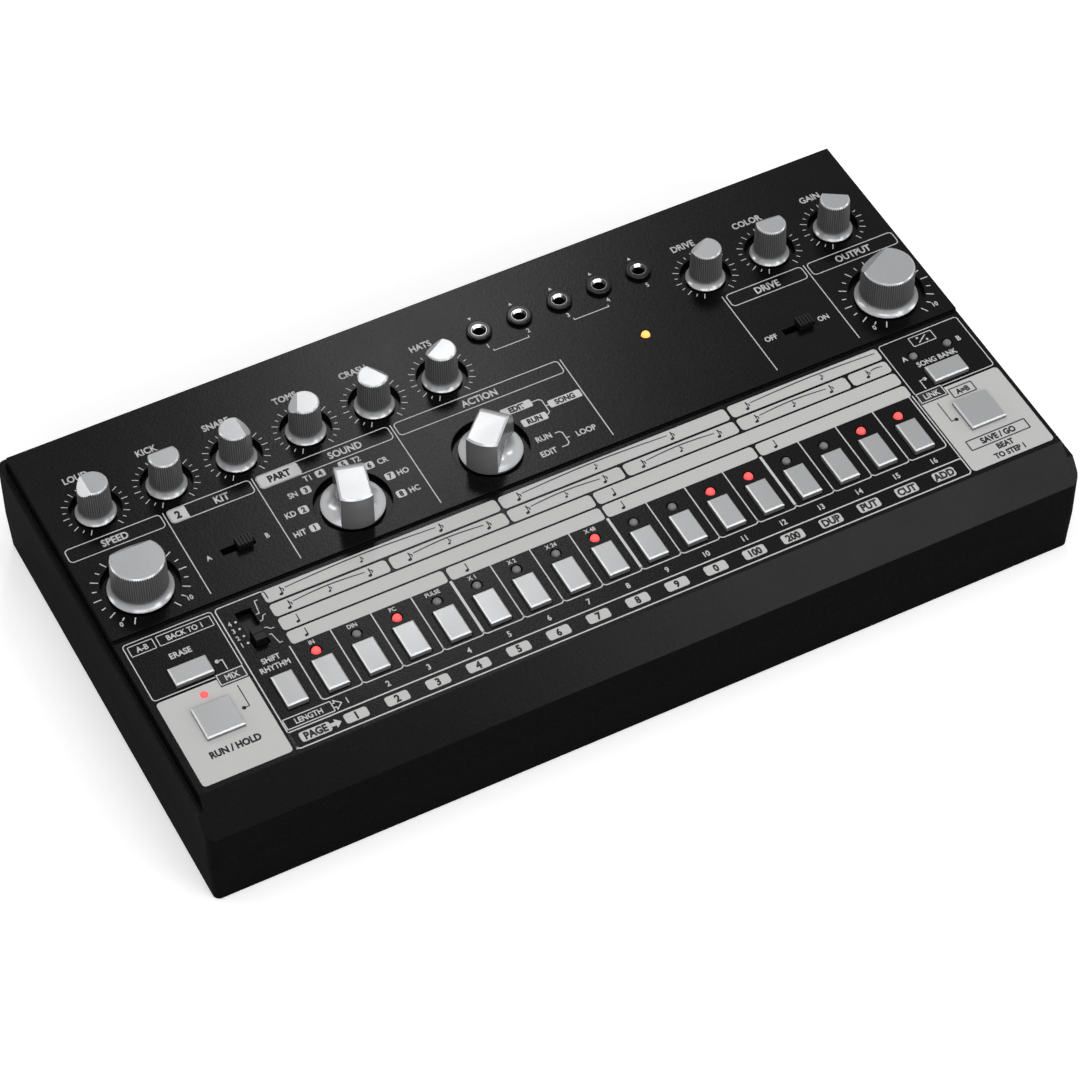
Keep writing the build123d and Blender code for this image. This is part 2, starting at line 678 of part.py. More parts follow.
def fluted_knob(size):
    """Knob with a flared skirt, a fluted grip and a flat cut across its top that points along +X."""
    crown = knob_top - crown_drop
    flare_end = size["base"] - flute_depth - skirt_sink
    flare_top = skirt_low + skirt_rise
    with BuildSketch(Plane.XZ) as half:
        with BuildLine():
            edge = Polyline((0, skirt_low), (size["skirt"], skirt_low), (size["skirt"], skirt_low + skirt_edge))
            flare = RadiusArc(edge @ 1, (flare_end, flare_top), skirt_hollow)
            Polyline(flare @ 1, (0, flare_top), (0, skirt_low))
        make_face()
    skirt = revolve(half.sketch, Axis.Z)
    foot = Pos(0, 0, deck_z) * star(size["base"], size["flutes"], flute_depth)
    head = Pos(0, 0, knob_top) * star(size["top"], size["flutes"], flute_depth)
    grip = loft([foot.face(), head.face()], ruled=True)
    crown_middle = (size["top"] - crown_inset / 5, knob_top - crown_drop / 2)
    grip = grip & turned([(0, deck_z), (size["skirt"], deck_z), (size["skirt"], crown),
                          (size["top"] + crown_foot, crown), crown_middle,
                          (size["top"] - crown_inset, knob_top), (0, knob_top)])
    knob = skirt + grip
    reach = size["skirt"]
    drop = (reach - size["cut"]) * math.tan(math.radians(cut_slope))
    wedge = [(size["cut"], knob_top), (reach, knob_top), (reach, knob_top - drop)]
    knob -= extrude(Plane.XZ * Polygon(*wedge, align=None), 2 * reach, both=True)
    return knob - shaft_bore


def pointer_knob():
    """Selector knob: a bar on a round skirt, whose nose points along +X."""
    cone_top = deck_z + selector_rise
    with BuildSketch(Plane.XZ) as half:
        with BuildLine():
            edge = Polyline((0, skirt_low), (selector_skirt, skirt_low),
                            (selector_skirt, skirt_low + selector_edge))
            flare = RadiusArc(edge @ 1, (pointer_tail_width / 2, cone_top), selector_hollow)
            Polyline(flare @ 1, (0, cone_top), (0, skirt_low))
        make_face()
    skirt = revolve(half.sketch, Axis.Z)
    half_nose = pointer_nose_width / 2
    half_tail = pointer_tail_width / 2
    tail_corner = -math.sqrt(pointer_tail ** 2 - half_tail ** 2)
    nose_end = pointer_tip + pointer_toe
    with BuildSketch() as plan:
        with BuildLine():
            right = Line((tail_corner, -half_tail), (nose_end, -half_nose))
            nose = Line(right @ 1, (nose_end, half_nose))
            left = Line(nose @ 1, (tail_corner, half_tail))
            ThreePointArc(left @ 1, (-pointer_tail, 0), right @ 0)
        make_face()
    bar_low = skirt_low + selector_edge
    bar = Pos(0, 0, bar_low) * extrude(plan.sketch, knob_top - bar_low)
    bar = chamfer(bar.faces().sort_by(Axis.Z)[-1].edges(), pointer_bevel)
    with BuildSketch(Plane.XZ) as side:
        with BuildLine():
            top = Line((pointer_nose, knob_top), (-pointer_tail, knob_top))
            back = Line(top @ 1, (-pointer_tail, skirt_low))
            foot = Line(back @ 1, (pointer_tip, skirt_low))
            rise = Line(foot @ 1, (pointer_tip - pointer_toe, knob_top - pointer_drop))
            RadiusArc(rise @ 1, (pointer_nose, knob_top), -pointer_curve)
        make_face()
    bar = bar & extrude(side.sketch, pointer_tail, both=True)
    return skirt + bar - shaft_bore


small_shape = fluted_knob(small_knob)
large_shape = fluted_knob(large_knob)
pointer_shape = pointer_knob()


def place_knob(name, shape, place, direction):
    """Turns a knob and its shaft to a direction and puts it on its potentiometer."""
    spot = Pos(place[0], place[1], 0) * Rot(0, 0, direction)
    save(name, spot * shape, spot * shaft)


for name, (index, direction) in small_knobs.items():
    place_knob(name, small_shape, small_knob_places[name], direction)
place_knob("tempo_knob", large_shape, large_knob_places["tempo_knob"], tempo_direction)
place_knob("volume_knob", large_shape, large_knob_places["volume_knob"], volume_direction)
place_knob("instrument_selector", pointer_shape, selector_places["instrument_selector"], instrument_direction)
place_knob("mode_selector", pointer_shape, selector_places["mode_selector"], mode_direction)

# ---- Slide switches: sliders in deck slots, and bodies on the board --------------------------------
slide_body_top = panel_board_top + slide_body_height
lever_foot = panel_board_top + slide_body_floor + lever_gap
shutter_top = deck_under - slider_gap
shutter_low = shutter_top - shutter_thickness
slide_bodies = []


def slide_body(x, y, run, along_x):
    """Switch body with a pocket that the lever slides in."""
    pocket_run = run + lever_size + 2 * lever_gap
    pocket_side = lever_size + 2 * lever_gap
    size = (pocket_run + 2 * slide_body_wall, pocket_side + 2 * slide_body_wall)
    pocket = (pocket_run, pocket_side)
    if not along_x:
        size = size[::-1]
        pocket = pocket[::-1]
    shape = block(*size, panel_board_top, slide_body_top, x, y)
    return shape - block(*pocket, lever_foot - lever_gap, slide_body_top, x, y)


def shutter_and_lever(x, y, length, width, top):
    """Plate that slides under the deck, with the lever below it and up to the cap."""
    shutter = block(length, width, shutter_low, shutter_top, x, y)
    return shutter + block(lever_size, lever_size, lever_foot, top, x, y)


slider_top = deck_z + slider_rise
cap_low = deck_z + slider_gap
shutter_length = slot_length + slide_travel + 2 * slider_gap
shutter_width = slot_width + 2 * shutter_lap
rib_pitch = (slider_length - rib_width) / (rib_count - 1)
for name, (x, y) in slide_places.items():
    slide_bodies.append(slide_body(x, y, slide_travel, True))
    rest_x = x + slide_travel / 2
    cap = block(slider_length, slider_width, cap_low, slider_top, rest_x, y)
    for i in range(rib_count - 1):
        groove_x = rest_x + (i + 1 - rib_count / 2) * rib_pitch
        cap -= block(rib_pitch - rib_width, slider_width, slider_top - rib_depth, slider_top, groove_x, y)
    save(name, cap + shutter_and_lever(rest_x, y, shutter_length, shutter_width, cap_low))

scale_x, scale_y = scale_place
scale_travel = (scale_places - 1) * scale_pitch
slide_bodies.append(slide_body(scale_x, scale_y, scale_travel, False))
scale_rest_y = scale_y - scale_travel / 2
scale_slider_top = key_deck_z + slider_rise
scale_shutter_length = scale_slot_length + scale_travel + 2 * slider_gap
scale_shutter_width = scale_slot_width + 2 * shutter_lap
cap = block(scale_slider_width, scale_slider_length, shutter_top, scale_slider_top, scale_x, scale_rest_y)
cap -= block(scale_slider_width, middle_groove, scale_slider_top - middle_groove, scale_slider_top,
             scale_x, scale_rest_y)
save("scale_slider",
     cap + shutter_and_lever(scale_x, scale_rest_y, scale_shutter_width, scale_shutter_length, shutter_top))

# Power switch on the jack board: its slider runs sideways in a slot of the back wall.
power_body_back = rear_body_back
power_body_front = power_body_back - power_body_depth
power_pocket = power_travel + lever_size + 2 * lever_gap
power_body = block_back(power_pocket + 2 * slide_body_wall, 2 * power_axis_rise, power_body_front,
                        power_body_back, power_switch_x, power_z)
power_body -= block_back(power_pocket, lever_size + 2 * lever_gap, power_body_front + slide_body_floor,
                         power_body_back, power_switch_x, power_z)
slide_bodies.append(power_body)
save("slide_switch_bodies", *slide_bodies)
power_rest_x = power_switch_x - power_travel / 2
power_slider = block_back(power_knob_size, power_knob_size, power_body_back + lever_gap,
                          back_y + power_knob_reach, power_rest_x, power_z)
power_slider += block_back(lever_size, lever_size, power_body_front + slide_body_floor + lever_gap,
                           power_body_back + lever_gap, power_rest_x, power_z)
save("power_slider", power_slider)

# ---- Keys: a cap with a lip under the deck, pressed down on the plunger of a switch ------------------
tact_top = panel_board_top + tact_height
plunger_top = tact_top + plunger_reach
plunger_foot = panel_board_top + plunger_floor + key_travel
flange_top = deck_under - flange_gap


def key_cap(x, y, width, length):
    """Bevelled cap, its lip and the stem that stands on the plunger."""
    flange_low = flange_top - key_flange_height
    cap = block(width, length, flange_low, key_deck_z + key_rise, x, y)
    cap = chamfer(cap.faces().sort_by(Axis.Z)[-1].edges(), key_bevel)
    cap += block(width + 2 * key_flange, length + 2 * key_flange, flange_low, flange_top, x, y)
    hollow_top = key_deck_z - key_roof
    cap -= block(width - 2 * key_shell, length - 2 * key_shell, flange_low, hollow_top, x, y)
    return cap + block(key_stem, key_stem, plunger_top, hollow_top, x, y)


for name, (x, y, width, length) in keys.items():
    save(name, key_cap(x, y, width, length), rod(plunger_radius, plunger_foot, plunger_top, x, y))
tact_bodies = []
for x, y, width, length in keys.values():
    tact = block(tact_size, tact_size, panel_board_top, tact_top, x, y)
    tact_well = rod(plunger_radius + plunger_gap, plunger_foot - key_travel - well_bottom, tact_top, x, y)
    tact_bodies.append(tact - tact_well)
save("tact_switch_bodies", *tact_bodies)


# ---- Lamps --------------------------------------------------------------------------------------
def lamp(x, y, top):
    """Domed lamp with a flange and two legs to the board."""
    shape = rod(led_radius, top - led_body, top - led_radius, x, y)
    dome_room = block(2 * led_radius, 2 * led_radius, top - led_radius, top, x, y)
    shape += (Pos(x, y, top - led_radius) * Sphere(led_radius)) & dome_room
    shape += rod(led_radius + led_flange, top - led_body, top - led_body + led_flange_height, x, y)
    for side in (-1, 1):
        shape += block(led_leg, led_leg, panel_board_top, top - led_body, x + side * led_leg_spacing, y)
    return shape


save("red_leds", *[lamp(x, y, key_deck_z + led_rise) for x, y in step_led_places + status_led_places])
save("power_led", lamp(*power_led_place, deck_z + led_rise))

# ---- Sockets ------------------------------------------------------------------------------------
ring_nut = rod(mini_nut_radius, 0, mini_nut_height)
ring_nut = fillet(ring_nut.faces().sort_by(Axis.Z)[-1].edges(), mini_nut_round)
ring_nut -= rod(mini_bush, 0, mini_nut_height)
ring_nut -= turned([(0, mini_nut_height - mini_nut_bevel), (mini_bush, mini_nut_height - mini_nut_bevel),
                    (mini_bush + mini_nut_bevel, mini_nut_height), (0, mini_nut_height)])
funnel = turned([(0, 0), (0, -mini_funnel_depth), (mini_bore, -mini_funnel_depth), (mini_bore + mini_funnel, 0)])
mini_nut_top = deck_z + mini_nut_height
mini_bush_top = mini_nut_top - bush_stand
panel_minis = []
nuts = []
for x, y in panel_jack_places:
    jack = block(mini_body_width, mini_body_depth, panel_board_top, panel_board_top + mini_body_height, x, y)
    jack += rod(mini_bush, panel_board_top, mini_bush_top, x, y)
    jack -= rod(mini_bore, mini_bush_top - mini_bore_length, mini_bush_top, x, y)
    panel_minis.append(jack - Pos(x, y, mini_bush_top) * funnel)
    nuts.append(Pos(x, y, deck_z) * ring_nut)
save("panel_minijacks", *panel_minis)

rear_minis = []
mini_body_front = rear_body_back - mini_body_depth
mini_nut_back = back_y + mini_nut_height
mini_bush_back = mini_nut_back - bush_stand
mini_bore_front = mini_bush_back - mini_bore_length
for x in rear_mini_x:
    jack = block_back(mini_body_width, 2 * mini_axis_rise, mini_body_front, rear_body_back, x, mini_z)
    jack += rod_back(mini_bush, rear_body_back, mini_bush_back, x, mini_z)
    jack -= rod_back(mini_bore, mini_bore_front, mini_bush_back, x, mini_z)
    rear_minis.append(jack - Pos(x, mini_bush_back, mini_z) * Rot(-90, 0, 0) * funnel)
    nuts.append(Pos(x, back_y, mini_z) * Rot(-90, 0, 0) * ring_nut)
save("rear_minijacks", *rear_minis)

mix_bush_back = back_y + rear_reach
mix_jack = block_back(mix_body_width, 2 * mix_axis_rise, rear_body_back - mix_body_depth, rear_body_back,
                      mix_jack_x, mix_z)
mix_jack += rod_back(mix_bush, rear_body_back, mix_bush_back, mix_jack_x, mix_z)
mix_jack -= rod_back(mix_bore, mix_bush_back - mix_bore_length, mix_bush_back, mix_jack_x, mix_z)
save("mix_out_jack", mix_jack)
hexagon = extrude(RegularPolygon(mix_nut_radius, 6), mix_nut_thickness)
hexagon = Pos(mix_jack_x, back_y, mix_z) * Rot(-90, 0, 0) * hexagon
nuts.append(hexagon - rod_back(mix_bush, back_y, back_y + mix_nut_thickness, mix_jack_x, mix_z))
save("jack_nuts", *nuts)

# Round data sockets: a nose through the back wall, with a ring-shaped groove and five pin holes.
din_sockets = []
din_body_front = rear_body_back - din_body_depth
for x in din_x:
    socket = block_back(din_body_width, 2 * din_axis_rise, din_body_front, rear_body_back, x, din_z)
    socket += rod_back(din_nose_radius, rear_body_back, back_y, x, din_z)
    groove = rod_back(din_groove_radius, back_y - din_groove_depth, back_y, x, din_z)
    socket -= groove - rod_back(din_core_radius, back_y - din_groove_depth, back_y, x, din_z)
    for angle in din_pin_angles:
        pin_x = x + din_pin_ring * math.cos(math.radians(angle))
        pin_z = din_z - din_pin_ring * math.sin(math.radians(angle))
        socket -= rod_back(din_pin_radius, back_y - din_pin_depth, back_y, pin_x, pin_z)
    din_sockets.append(socket)
save("din_sockets", *din_sockets)

# Square data socket: a metal shell behind its window, with a tongue inside.
usb_shell_front = rear_body_back - usb_shell_depth
usb_mouth_front = rear_body_back - usb_mouth_depth
usb_tongue_back = rear_body_back - usb_tongue_recess
usb = block_back(usb_shell_width, 2 * usb_axis_rise, usb_shell_front, rear_body_back, usb_x, usb_z)
usb -= block_back(usb_mouth_width, usb_mouth_height, usb_mouth_front, rear_body_back, usb_x, usb_z)
usb += block_back(usb_tongue_width, usb_tongue_height, usb_mouth_front, usb_tongue_back, usb_x, usb_z)
save("usb_socket", usb)

# Power inlet: a round mouth with a centre pin.
dc = block_back(dc_body_width, 2 * dc_axis_rise, rear_body_back - dc_body_depth, rear_body_back, dc_x, dc_z)
dc -= rod_back(dc_mouth_radius, rear_body_back - dc_mouth_depth, rear_body_back, dc_x, dc_z)
dc += rod_back(dc_pin_radius, rear_body_back - dc_mouth_depth, rear_body_back - dc_pin_recess, dc_x, dc_z)
save("dc_socket", dc)


# ---- Screws -------------------------------------------------------------------------------------
def screw(x, y, seat, length, head_height, up):
    """Pan-head screw with a cross recess: its head lies on the seat and its shank points up or down."""
    shape = rod(screw_radius, 0, length) + rod(screw_head_radius, -head_height, 0)
    shape -= block(cross_length, cross_width, -head_height, -head_height / 2)
    shape -= block(cross_width, cross_length, -head_height, -head_height / 2)
    turn = Rot(0, 0, cross_angle) if up else Rot(180, 0, cross_angle)
    return Pos(x, y, seat) * turn * shape


case_seat = tray_floor + screw_head_height
case_screw_size = (case_screw_length, screw_head_height)
board_screw_size = (board_screw_length, board_head_height)
save("case_screws", *[screw(x, y, case_seat, *case_screw_size, True) for x, y in case_posts])
board_screws = [screw(x, y, panel_board_under, *board_screw_size, True) for x, y in panel_posts]
board_screws += [screw(x, y, jack_board_top, *board_screw_size, False) for x, y in jack_posts]
save("board_screws", *board_screws)
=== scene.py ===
"""Looks of the desktop drum machine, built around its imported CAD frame.

Lengths in the helpers are millimetres. Printed places are measured from the middle of the case, +X to the
right and +Y to the back.
"""

import json
import math

import bmesh
import bpy
from mathutils import Matrix, Vector


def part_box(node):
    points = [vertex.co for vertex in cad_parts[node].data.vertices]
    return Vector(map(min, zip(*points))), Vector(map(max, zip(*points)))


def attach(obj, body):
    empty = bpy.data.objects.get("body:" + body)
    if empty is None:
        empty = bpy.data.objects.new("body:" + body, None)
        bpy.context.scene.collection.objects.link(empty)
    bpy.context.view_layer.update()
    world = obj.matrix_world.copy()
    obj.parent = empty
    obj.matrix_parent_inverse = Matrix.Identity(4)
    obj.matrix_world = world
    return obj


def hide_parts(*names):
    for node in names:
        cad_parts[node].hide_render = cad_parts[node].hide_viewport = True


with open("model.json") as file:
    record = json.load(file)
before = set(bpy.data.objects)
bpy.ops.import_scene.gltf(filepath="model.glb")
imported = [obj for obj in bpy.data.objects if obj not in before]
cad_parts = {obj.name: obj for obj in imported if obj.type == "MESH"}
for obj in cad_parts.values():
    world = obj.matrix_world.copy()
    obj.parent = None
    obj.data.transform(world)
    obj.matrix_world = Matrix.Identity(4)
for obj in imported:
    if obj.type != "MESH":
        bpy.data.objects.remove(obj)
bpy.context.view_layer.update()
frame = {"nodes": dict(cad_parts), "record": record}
nodes = frame["nodes"]
scene = bpy.context.scene

MM = 0.001
CASE_LOW, CASE_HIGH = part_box("top_case")
MIDDLE_X = (CASE_LOW.x + CASE_HIGH.x) / 2 / MM
MIDDLE_Y = (CASE_LOW.y + CASE_HIGH.y) / 2 / MM
DECK = CASE_HIGH.z / MM
KEY_DECK_DROP = 1.1
KEY_DECK = DECK - KEY_DECK_DROP


def centre(node):
    """Middle of a CAD node, in millimetres."""
    low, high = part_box(node)
    return (low + high) / 2 / MM


# ---- Colours, in linear light ---------------------------------------------------------------------
WHITE = (1, 1, 1, 1)      # with its alpha, unlike the colours below
BLACK = (0.003, 0.0029, 0.0028)
INK = (0.6, 0.6, 0.6)
PLATE = (0.54, 0.54, 0.535)
DARK_INK = (0.006, 0.006, 0.006)
SILVER = (0.35, 0.353, 0.36)
KEY_SILVER = (0.35, 0.353, 0.358)
RED_LIT = (1.0, 0.1, 0.1)
AMBER_LIT = (1.0, 0.5, 0.12)
LAMP_OFF = (0.16, 0.16, 0.16)


# ---- Materials ------------------------------------------------------------------------------------
class Nodes:
    """A material's node tree, with short calls for the nodes that the finishes share."""

    def __init__(self, name):
        self.material = bpy.data.materials.new(name)
        self.material.use_nodes = True
        self.tree = self.material.node_tree
        self.shader = self.tree.nodes["Principled BSDF"]
        self.place = self.add("ShaderNodeTexCoord").outputs["Object"]

    def add(self, kind, **values):
        node = self.tree.nodes.new(kind)
        for key, value in values.items():
            setattr(node, key, value)
        return node

    def link(self, source, target):
        self.tree.links.new(source, target)

    def noise(self, per_mm, detail=2.0, stretch=None):
        """Noise whose cells measure about 1 / per_mm millimetres."""
        node = self.add("ShaderNodeTexNoise")
        node.inputs["Scale"].default_value = per_mm / MM
        node.inputs["Detail"].default_value = detail
        place = self.place
        if stretch:
            mapping = self.add("ShaderNodeMapping")
            mapping.inputs["Scale"].default_value = stretch
            self.link(place, mapping.inputs["Vector"])
            place = mapping.outputs["Vector"]
        self.link(place, node.inputs["Vector"])
        return node.outputs["Fac"]

    def spread(self, source, low, high, start=0.3, end=0.7):
        """Maps a signal's range from start to end onto the one from low to high."""
        node = self.add("ShaderNodeMapRange")
        node.inputs["From Min"].default_value = start
        node.inputs["From Max"].default_value = end
        node.inputs["To Min"].default_value = low
        node.inputs["To Max"].default_value = high
        self.link(source, node.inputs["Value"])
        return node.outputs["Result"]

    def colour_input(self, socket, value):
        """Sets a colour, or links the output that carries one."""
        if isinstance(value, tuple):
            socket.default_value = (*value, 1)
        else:
            self.link(value, socket)

    def blend(self, factor, low, high):
        """Mixes two colours by a signal."""
        node = self.add("ShaderNodeMix", data_type="RGBA")
        colours = [socket for socket in node.inputs if socket.type == "RGBA"]
        self.colour_input(colours[0], low)
        self.colour_input(colours[1], high)
        self.link(factor, node.inputs["Factor"])
        return [socket for socket in node.outputs if socket.type == "RGBA"][0]

    def softened(self, edge):
        """The surface's direction, rounded off at edges over a radius in millimetres."""
        node = self.add("ShaderNodeBevel", samples=4)
        node.inputs["Radius"].default_value = edge * MM
        return node.outputs["Normal"]

    def direction(self):
        """The surface's direction as its three parts."""
        split = self.add("ShaderNodeSeparateXYZ")
        self.link(self.add("ShaderNodeNewGeometry").outputs["Normal"], split.inputs[0])
        return split.outputs

    def combined(self, operation, first, second=0.0):
        """A signal worked out from one signal and a number, or from two signals."""
        node = self.add("ShaderNodeMath", operation=operation)
        self.link(first, node.inputs[0])
        if isinstance(second, (int, float)):
            node.inputs[1].default_value = second
        else:
            self.link(second, node.inputs[1])
        return node.outputs[0]

    def bump(self, source, depth, strength=1.0, edge=0.0):
        """Surface relief of a depth in millimetres, with edges softened over a radius in millimetres."""
        node = self.add("ShaderNodeBump")
        node.inputs["Strength"].default_value = strength
        node.inputs["Distance"].default_value = depth * MM
        self.link(source, node.inputs["Height"])
        if edge:
            self.link(self.softened(edge), node.inputs["Normal"])
        self.link(node.outputs["Normal"], self.shader.inputs["Normal"])
        return node.outputs["Normal"]

    def wear(self, edge):
        """1 along edges sharper than a radius in millimetres, and 0 on open faces."""
        flat = self.add("ShaderNodeNewGeometry")
        dot = self.add("ShaderNodeVectorMath", operation="DOT_PRODUCT")
        self.link(self.softened(edge), dot.inputs[0])
        self.link(flat.outputs["Normal"], dot.inputs[1])
        return self.spread(dot.outputs["Value"], 1.0, 0.0, 0.9, 0.995)

    def cavity(self, reach, darkest, start, end):
        """1 on open faces, falling to the darkest value in hollows that are narrower than a reach."""
        node = self.add("ShaderNodeAmbientOcclusion", samples=4, only_local=True)
        node.inputs["Distance"].default_value = reach * MM
        return self.spread(node.outputs["AO"], darkest, 1.0, start, end)

    def scaled(self, colour, factor):
        """A colour multiplied by a signal."""
        node = self.add("ShaderNodeVectorMath", operation="SCALE")
        self.link(colour, node.inputs[0])
        self.link(factor, node.inputs["Scale"])
        return node.outputs["Vector"]

    def paint(self, value):
        """Gives the shader its base colour."""
        self.colour_input(self.shader.inputs["Base Color"], value)

    def set(self, **values):
        for key, value in values.items():
            self.shader.inputs[key.replace("_", " ")].default_value = value


def shade(colour, factor):
    """A colour made lighter or darker."""
    return tuple(min(1.0, part * factor) for part in colour)


def moulded_plastic(name, colour, gloss, roughness, grain=2.2, depth=0.012, edge=0.3, side_gloss=None):
    """Moulded plastic: fine leather grain under a thin sheen, which side_gloss sets on upright faces."""
    m = Nodes(name)
    grainy = m.noise(grain, 4.0)
    cloudy = m.noise(0.03, 3.0)
    m.paint(m.blend(m.spread(grainy, 0, 1), shade(colour, 0.55), shade(colour, 1.45)))
    m.set(Roughness=0.8, Specular_IOR_Level=0.0)
    m.link(m.spread(cloudy, roughness - 0.02, roughness + 0.02), m.shader.inputs["Coat Roughness"])
    if side_gloss is None:
        m.set(Coat_Weight=gloss)
    else:
        up = m.direction()["Z"]
        m.link(m.spread(up, side_gloss, gloss, 0.2, 0.95), m.shader.inputs["Coat Weight"])
    m.link(m.bump(grainy, depth, 0.6, edge), m.shader.inputs["Coat Normal"])
    return m.material


FLECK = 9.0               # flakes in a millimetre
EDGE_HIGHLIGHT = 1.6                 # how much lighter the edges are painted, a painted highlight
UPRIGHT_SHADE = 0.6             # how much darker upright faces are painted, a painted shade
SLOPE_HIGHLIGHT = 1.4               # how much lighter slopes are painted, a painted highlight
# reach in millimetres of the painted shade down in the flutes
FLUTE_REACH = 0.6


def silver_paint(name, colour, roughness, metallic, edge, groove_shade=1.0):
    """Silver lacquer with metal flake, a painted highlight on edges and slopes, painted shade on upright
    faces, and painted shade down in the flutes.
    """
    m = Nodes(name)
    flake = m.noise(FLECK, 1.0)
    cloudy = m.noise(0.08, 2.0)
    lacquer = m.blend(m.spread(flake, 0, 1), shade(colour, 0.88), shade(colour, 1.12))
    # Painted highlight: the base colour is lighter along edges.
    lacquer = m.blend(m.wear(edge), lacquer, shade(colour, EDGE_HIGHLIGHT))
    up = m.direction()["Z"]
    # Painted shade and highlight: upright faces darker and slopes lighter, with level tops brought back to
    # the plain colour.
    slope_shading = m.spread(up, UPRIGHT_SHADE, SLOPE_HIGHLIGHT, 0.15, 0.7)
    levelling = m.spread(up, 1.0, 1 / SLOPE_HIGHLIGHT, 0.93, 0.99)
    factor = m.combined("MULTIPLY", slope_shading, levelling)
    # Painted shade down in the flutes: darker where ambient occlusion finds narrow hollows.
    factor = m.combined("MULTIPLY", factor, m.cavity(FLUTE_REACH, groove_shade, 0.7, 0.95))
    m.paint(m.scaled(lacquer, factor))
    m.link(m.spread(cloudy, roughness - 0.02, roughness + 0.02), m.shader.inputs["Roughness"])
    m.set(Metallic=metallic)
    m.bump(m.noise(FLECK / 2, 2.0), 0.004, 0.35, edge)
    return m.material


def plated_metal(name, colour, roughness, brushed=None, edge=0.1, hollow_shade=0.5):
    """Plated or brushed metal with fine drawing marks, and painted shade down in its hollows."""
    m = Nodes(name)
    marks = m.noise(6.0, 2.0, brushed)
    tone = m.blend(m.spread(marks, 0, 1), shade(colour, 0.86), shade(colour, 1.08))
    # Painted shade: the base colour is darker in hollows, found by ambient occlusion.
    m.paint(m.scaled(tone, m.cavity(2.0, hollow_shade, 0.45, 0.95)))
    m.link(m.spread(marks, roughness - 0.03, roughness + 0.05), m.shader.inputs["Roughness"])
    m.set(Metallic=1.0)
    m.bump(marks, 0.006, 0.4, edge)
    return m.material


LIP_OUTSIDE = 2.62        # radius of the bright lip around a top socket
LIP_FADE = 0.06


def jack_metal(name, colour, first, pitch, row):
    """Plated sockets in a row: plated within a lip around each mouth and near black outside it, with
    painted shade on the flat faces and a painted highlight on the funnel's back wall.
    """
    m = Nodes(name)
    place = m.add("ShaderNodeSeparateXYZ")
    m.link(m.place, place.inputs[0])
    along = m.combined("SUBTRACT", place.outputs["X"], (first - pitch / 2) * MM)
    along = m.combined("SUBTRACT", m.combined("MODULO", along, pitch * MM), pitch / 2 * MM)
    across = m.combined("SUBTRACT", place.outputs["Y"], row * MM)
    squares = m.combined("POWER", along, 2.0), m.combined("POWER", across, 2.0)
    radius = m.combined("SQRT", m.combined("ADD", *squares))
    lip = m.spread(radius, 1.0, 0.03, LIP_OUTSIDE * MM, (LIP_OUTSIDE + LIP_FADE) * MM)
    facing = m.direction()
    # Painted highlight on the funnel's back wall, which faces the front, and painted shade on flat faces.
    lit_behind = m.spread(facing["Y"], 0.9, 0.02, -0.62, -0.35)
    flat = m.spread(facing["Z"], 0.0, 0.2, 0.9, 0.97)
    tone = m.blend(m.spread(m.noise(6.0, 2.0), 0, 1), shade(colour, 0.86), shade(colour, 1.08))
    m.paint(m.scaled(tone, m.combined("MULTIPLY", lip, m.combined("MAXIMUM", lit_behind, flat))))
    m.set(Roughness=0.15, Metallic=1.0)
    return m.material


def printed_ink(name, colour, speckle=0.06):
    """Screen-printed ink: slightly uneven, with tiny pinholes over the grain below."""
    m = Nodes(name)
    fine = m.noise(7.0, 2.0)
    m.paint(m.blend(m.spread(fine, 0, 1), shade(colour, 1 - speckle), shade(colour, 1 + speckle)))
    m.link(m.spread(m.noise(0.4, 2.0), 0.5, 0.62), m.shader.inputs["Roughness"])
    m.set(Specular_IOR_Level=0.25)
    m.bump(fine, 0.012, 0.4)
    return m.material


def lamp_plastic(name, colour, glow=None, strength=0.0):
    """Diffused lamp body: milky plastic, which glows when the lamp is lit."""
    m = Nodes(name)
    milky = m.noise(1.5, 2.0)
    m.paint(m.blend(m.spread(milky, 0, 1), shade(colour, 0.85), shade(colour, 1.1)))
    m.set(Roughness=0.35)
    m.bump(milky, 0.01, 0.3)
    if glow:
        m.set(Emission_Color=(*glow, 1), Emission_Strength=strength)
    return m.material


def lacquered_board(name):
    """Circuit board: green lacquer over a pattern of tracks and pads."""
    m = Nodes(name)
    tracks = m.add("ShaderNodeTexBrick")
    tracks.inputs["Scale"].default_value = 0.16 / MM
    tracks.inputs["Mortar Size"].default_value = 0.06
    lacquers = {"Color1": (0.012, 0.11, 0.05), "Color2": (0.01, 0.085, 0.04), "Mortar": (0.03, 0.2, 0.1)}
    for key, colour in lacquers.items():
        m.colour_input(tracks.inputs[key], colour)
    m.link(m.place, tracks.inputs["Vector"])
    m.paint(tracks.outputs["Color"])
    m.set(Roughness=0.3)
    m.bump(m.noise(0.8, 2.0), 0.03, 0.3)
    return m.material


def soft_rubber(name):
    """Matt rubber with a dusty bloom."""
    m = Nodes(name)
    dust = m.noise(0.6, 4.0)
    m.paint(m.blend(m.spread(dust, 0, 1), (0.018, 0.018, 0.018), (0.05, 0.05, 0.048)))
    m.link(m.spread(dust, 0.75, 0.9), m.shader.inputs["Roughness"])
    m.bump(m.noise(3.0, 3.0), 0.04, 0.5, 0.2)
    return m.material


def ribbon_plastic(name):
    """Flat cable: grey wires side by side."""
    m = Nodes(name)
    wires = m.add("ShaderNodeTexWave", bands_direction="X")
    wires.inputs["Scale"].default_value = 0.12 / MM
    m.link(m.place, wires.inputs["Vector"])
    m.paint(m.blend(wires.outputs["Fac"], (0.2, 0.2, 0.21), (0.42, 0.42, 0.44)))
    m.set(Roughness=0.5)
    m.bump(wires.outputs["Fac"], 0.2, 0.6)
    return m.material


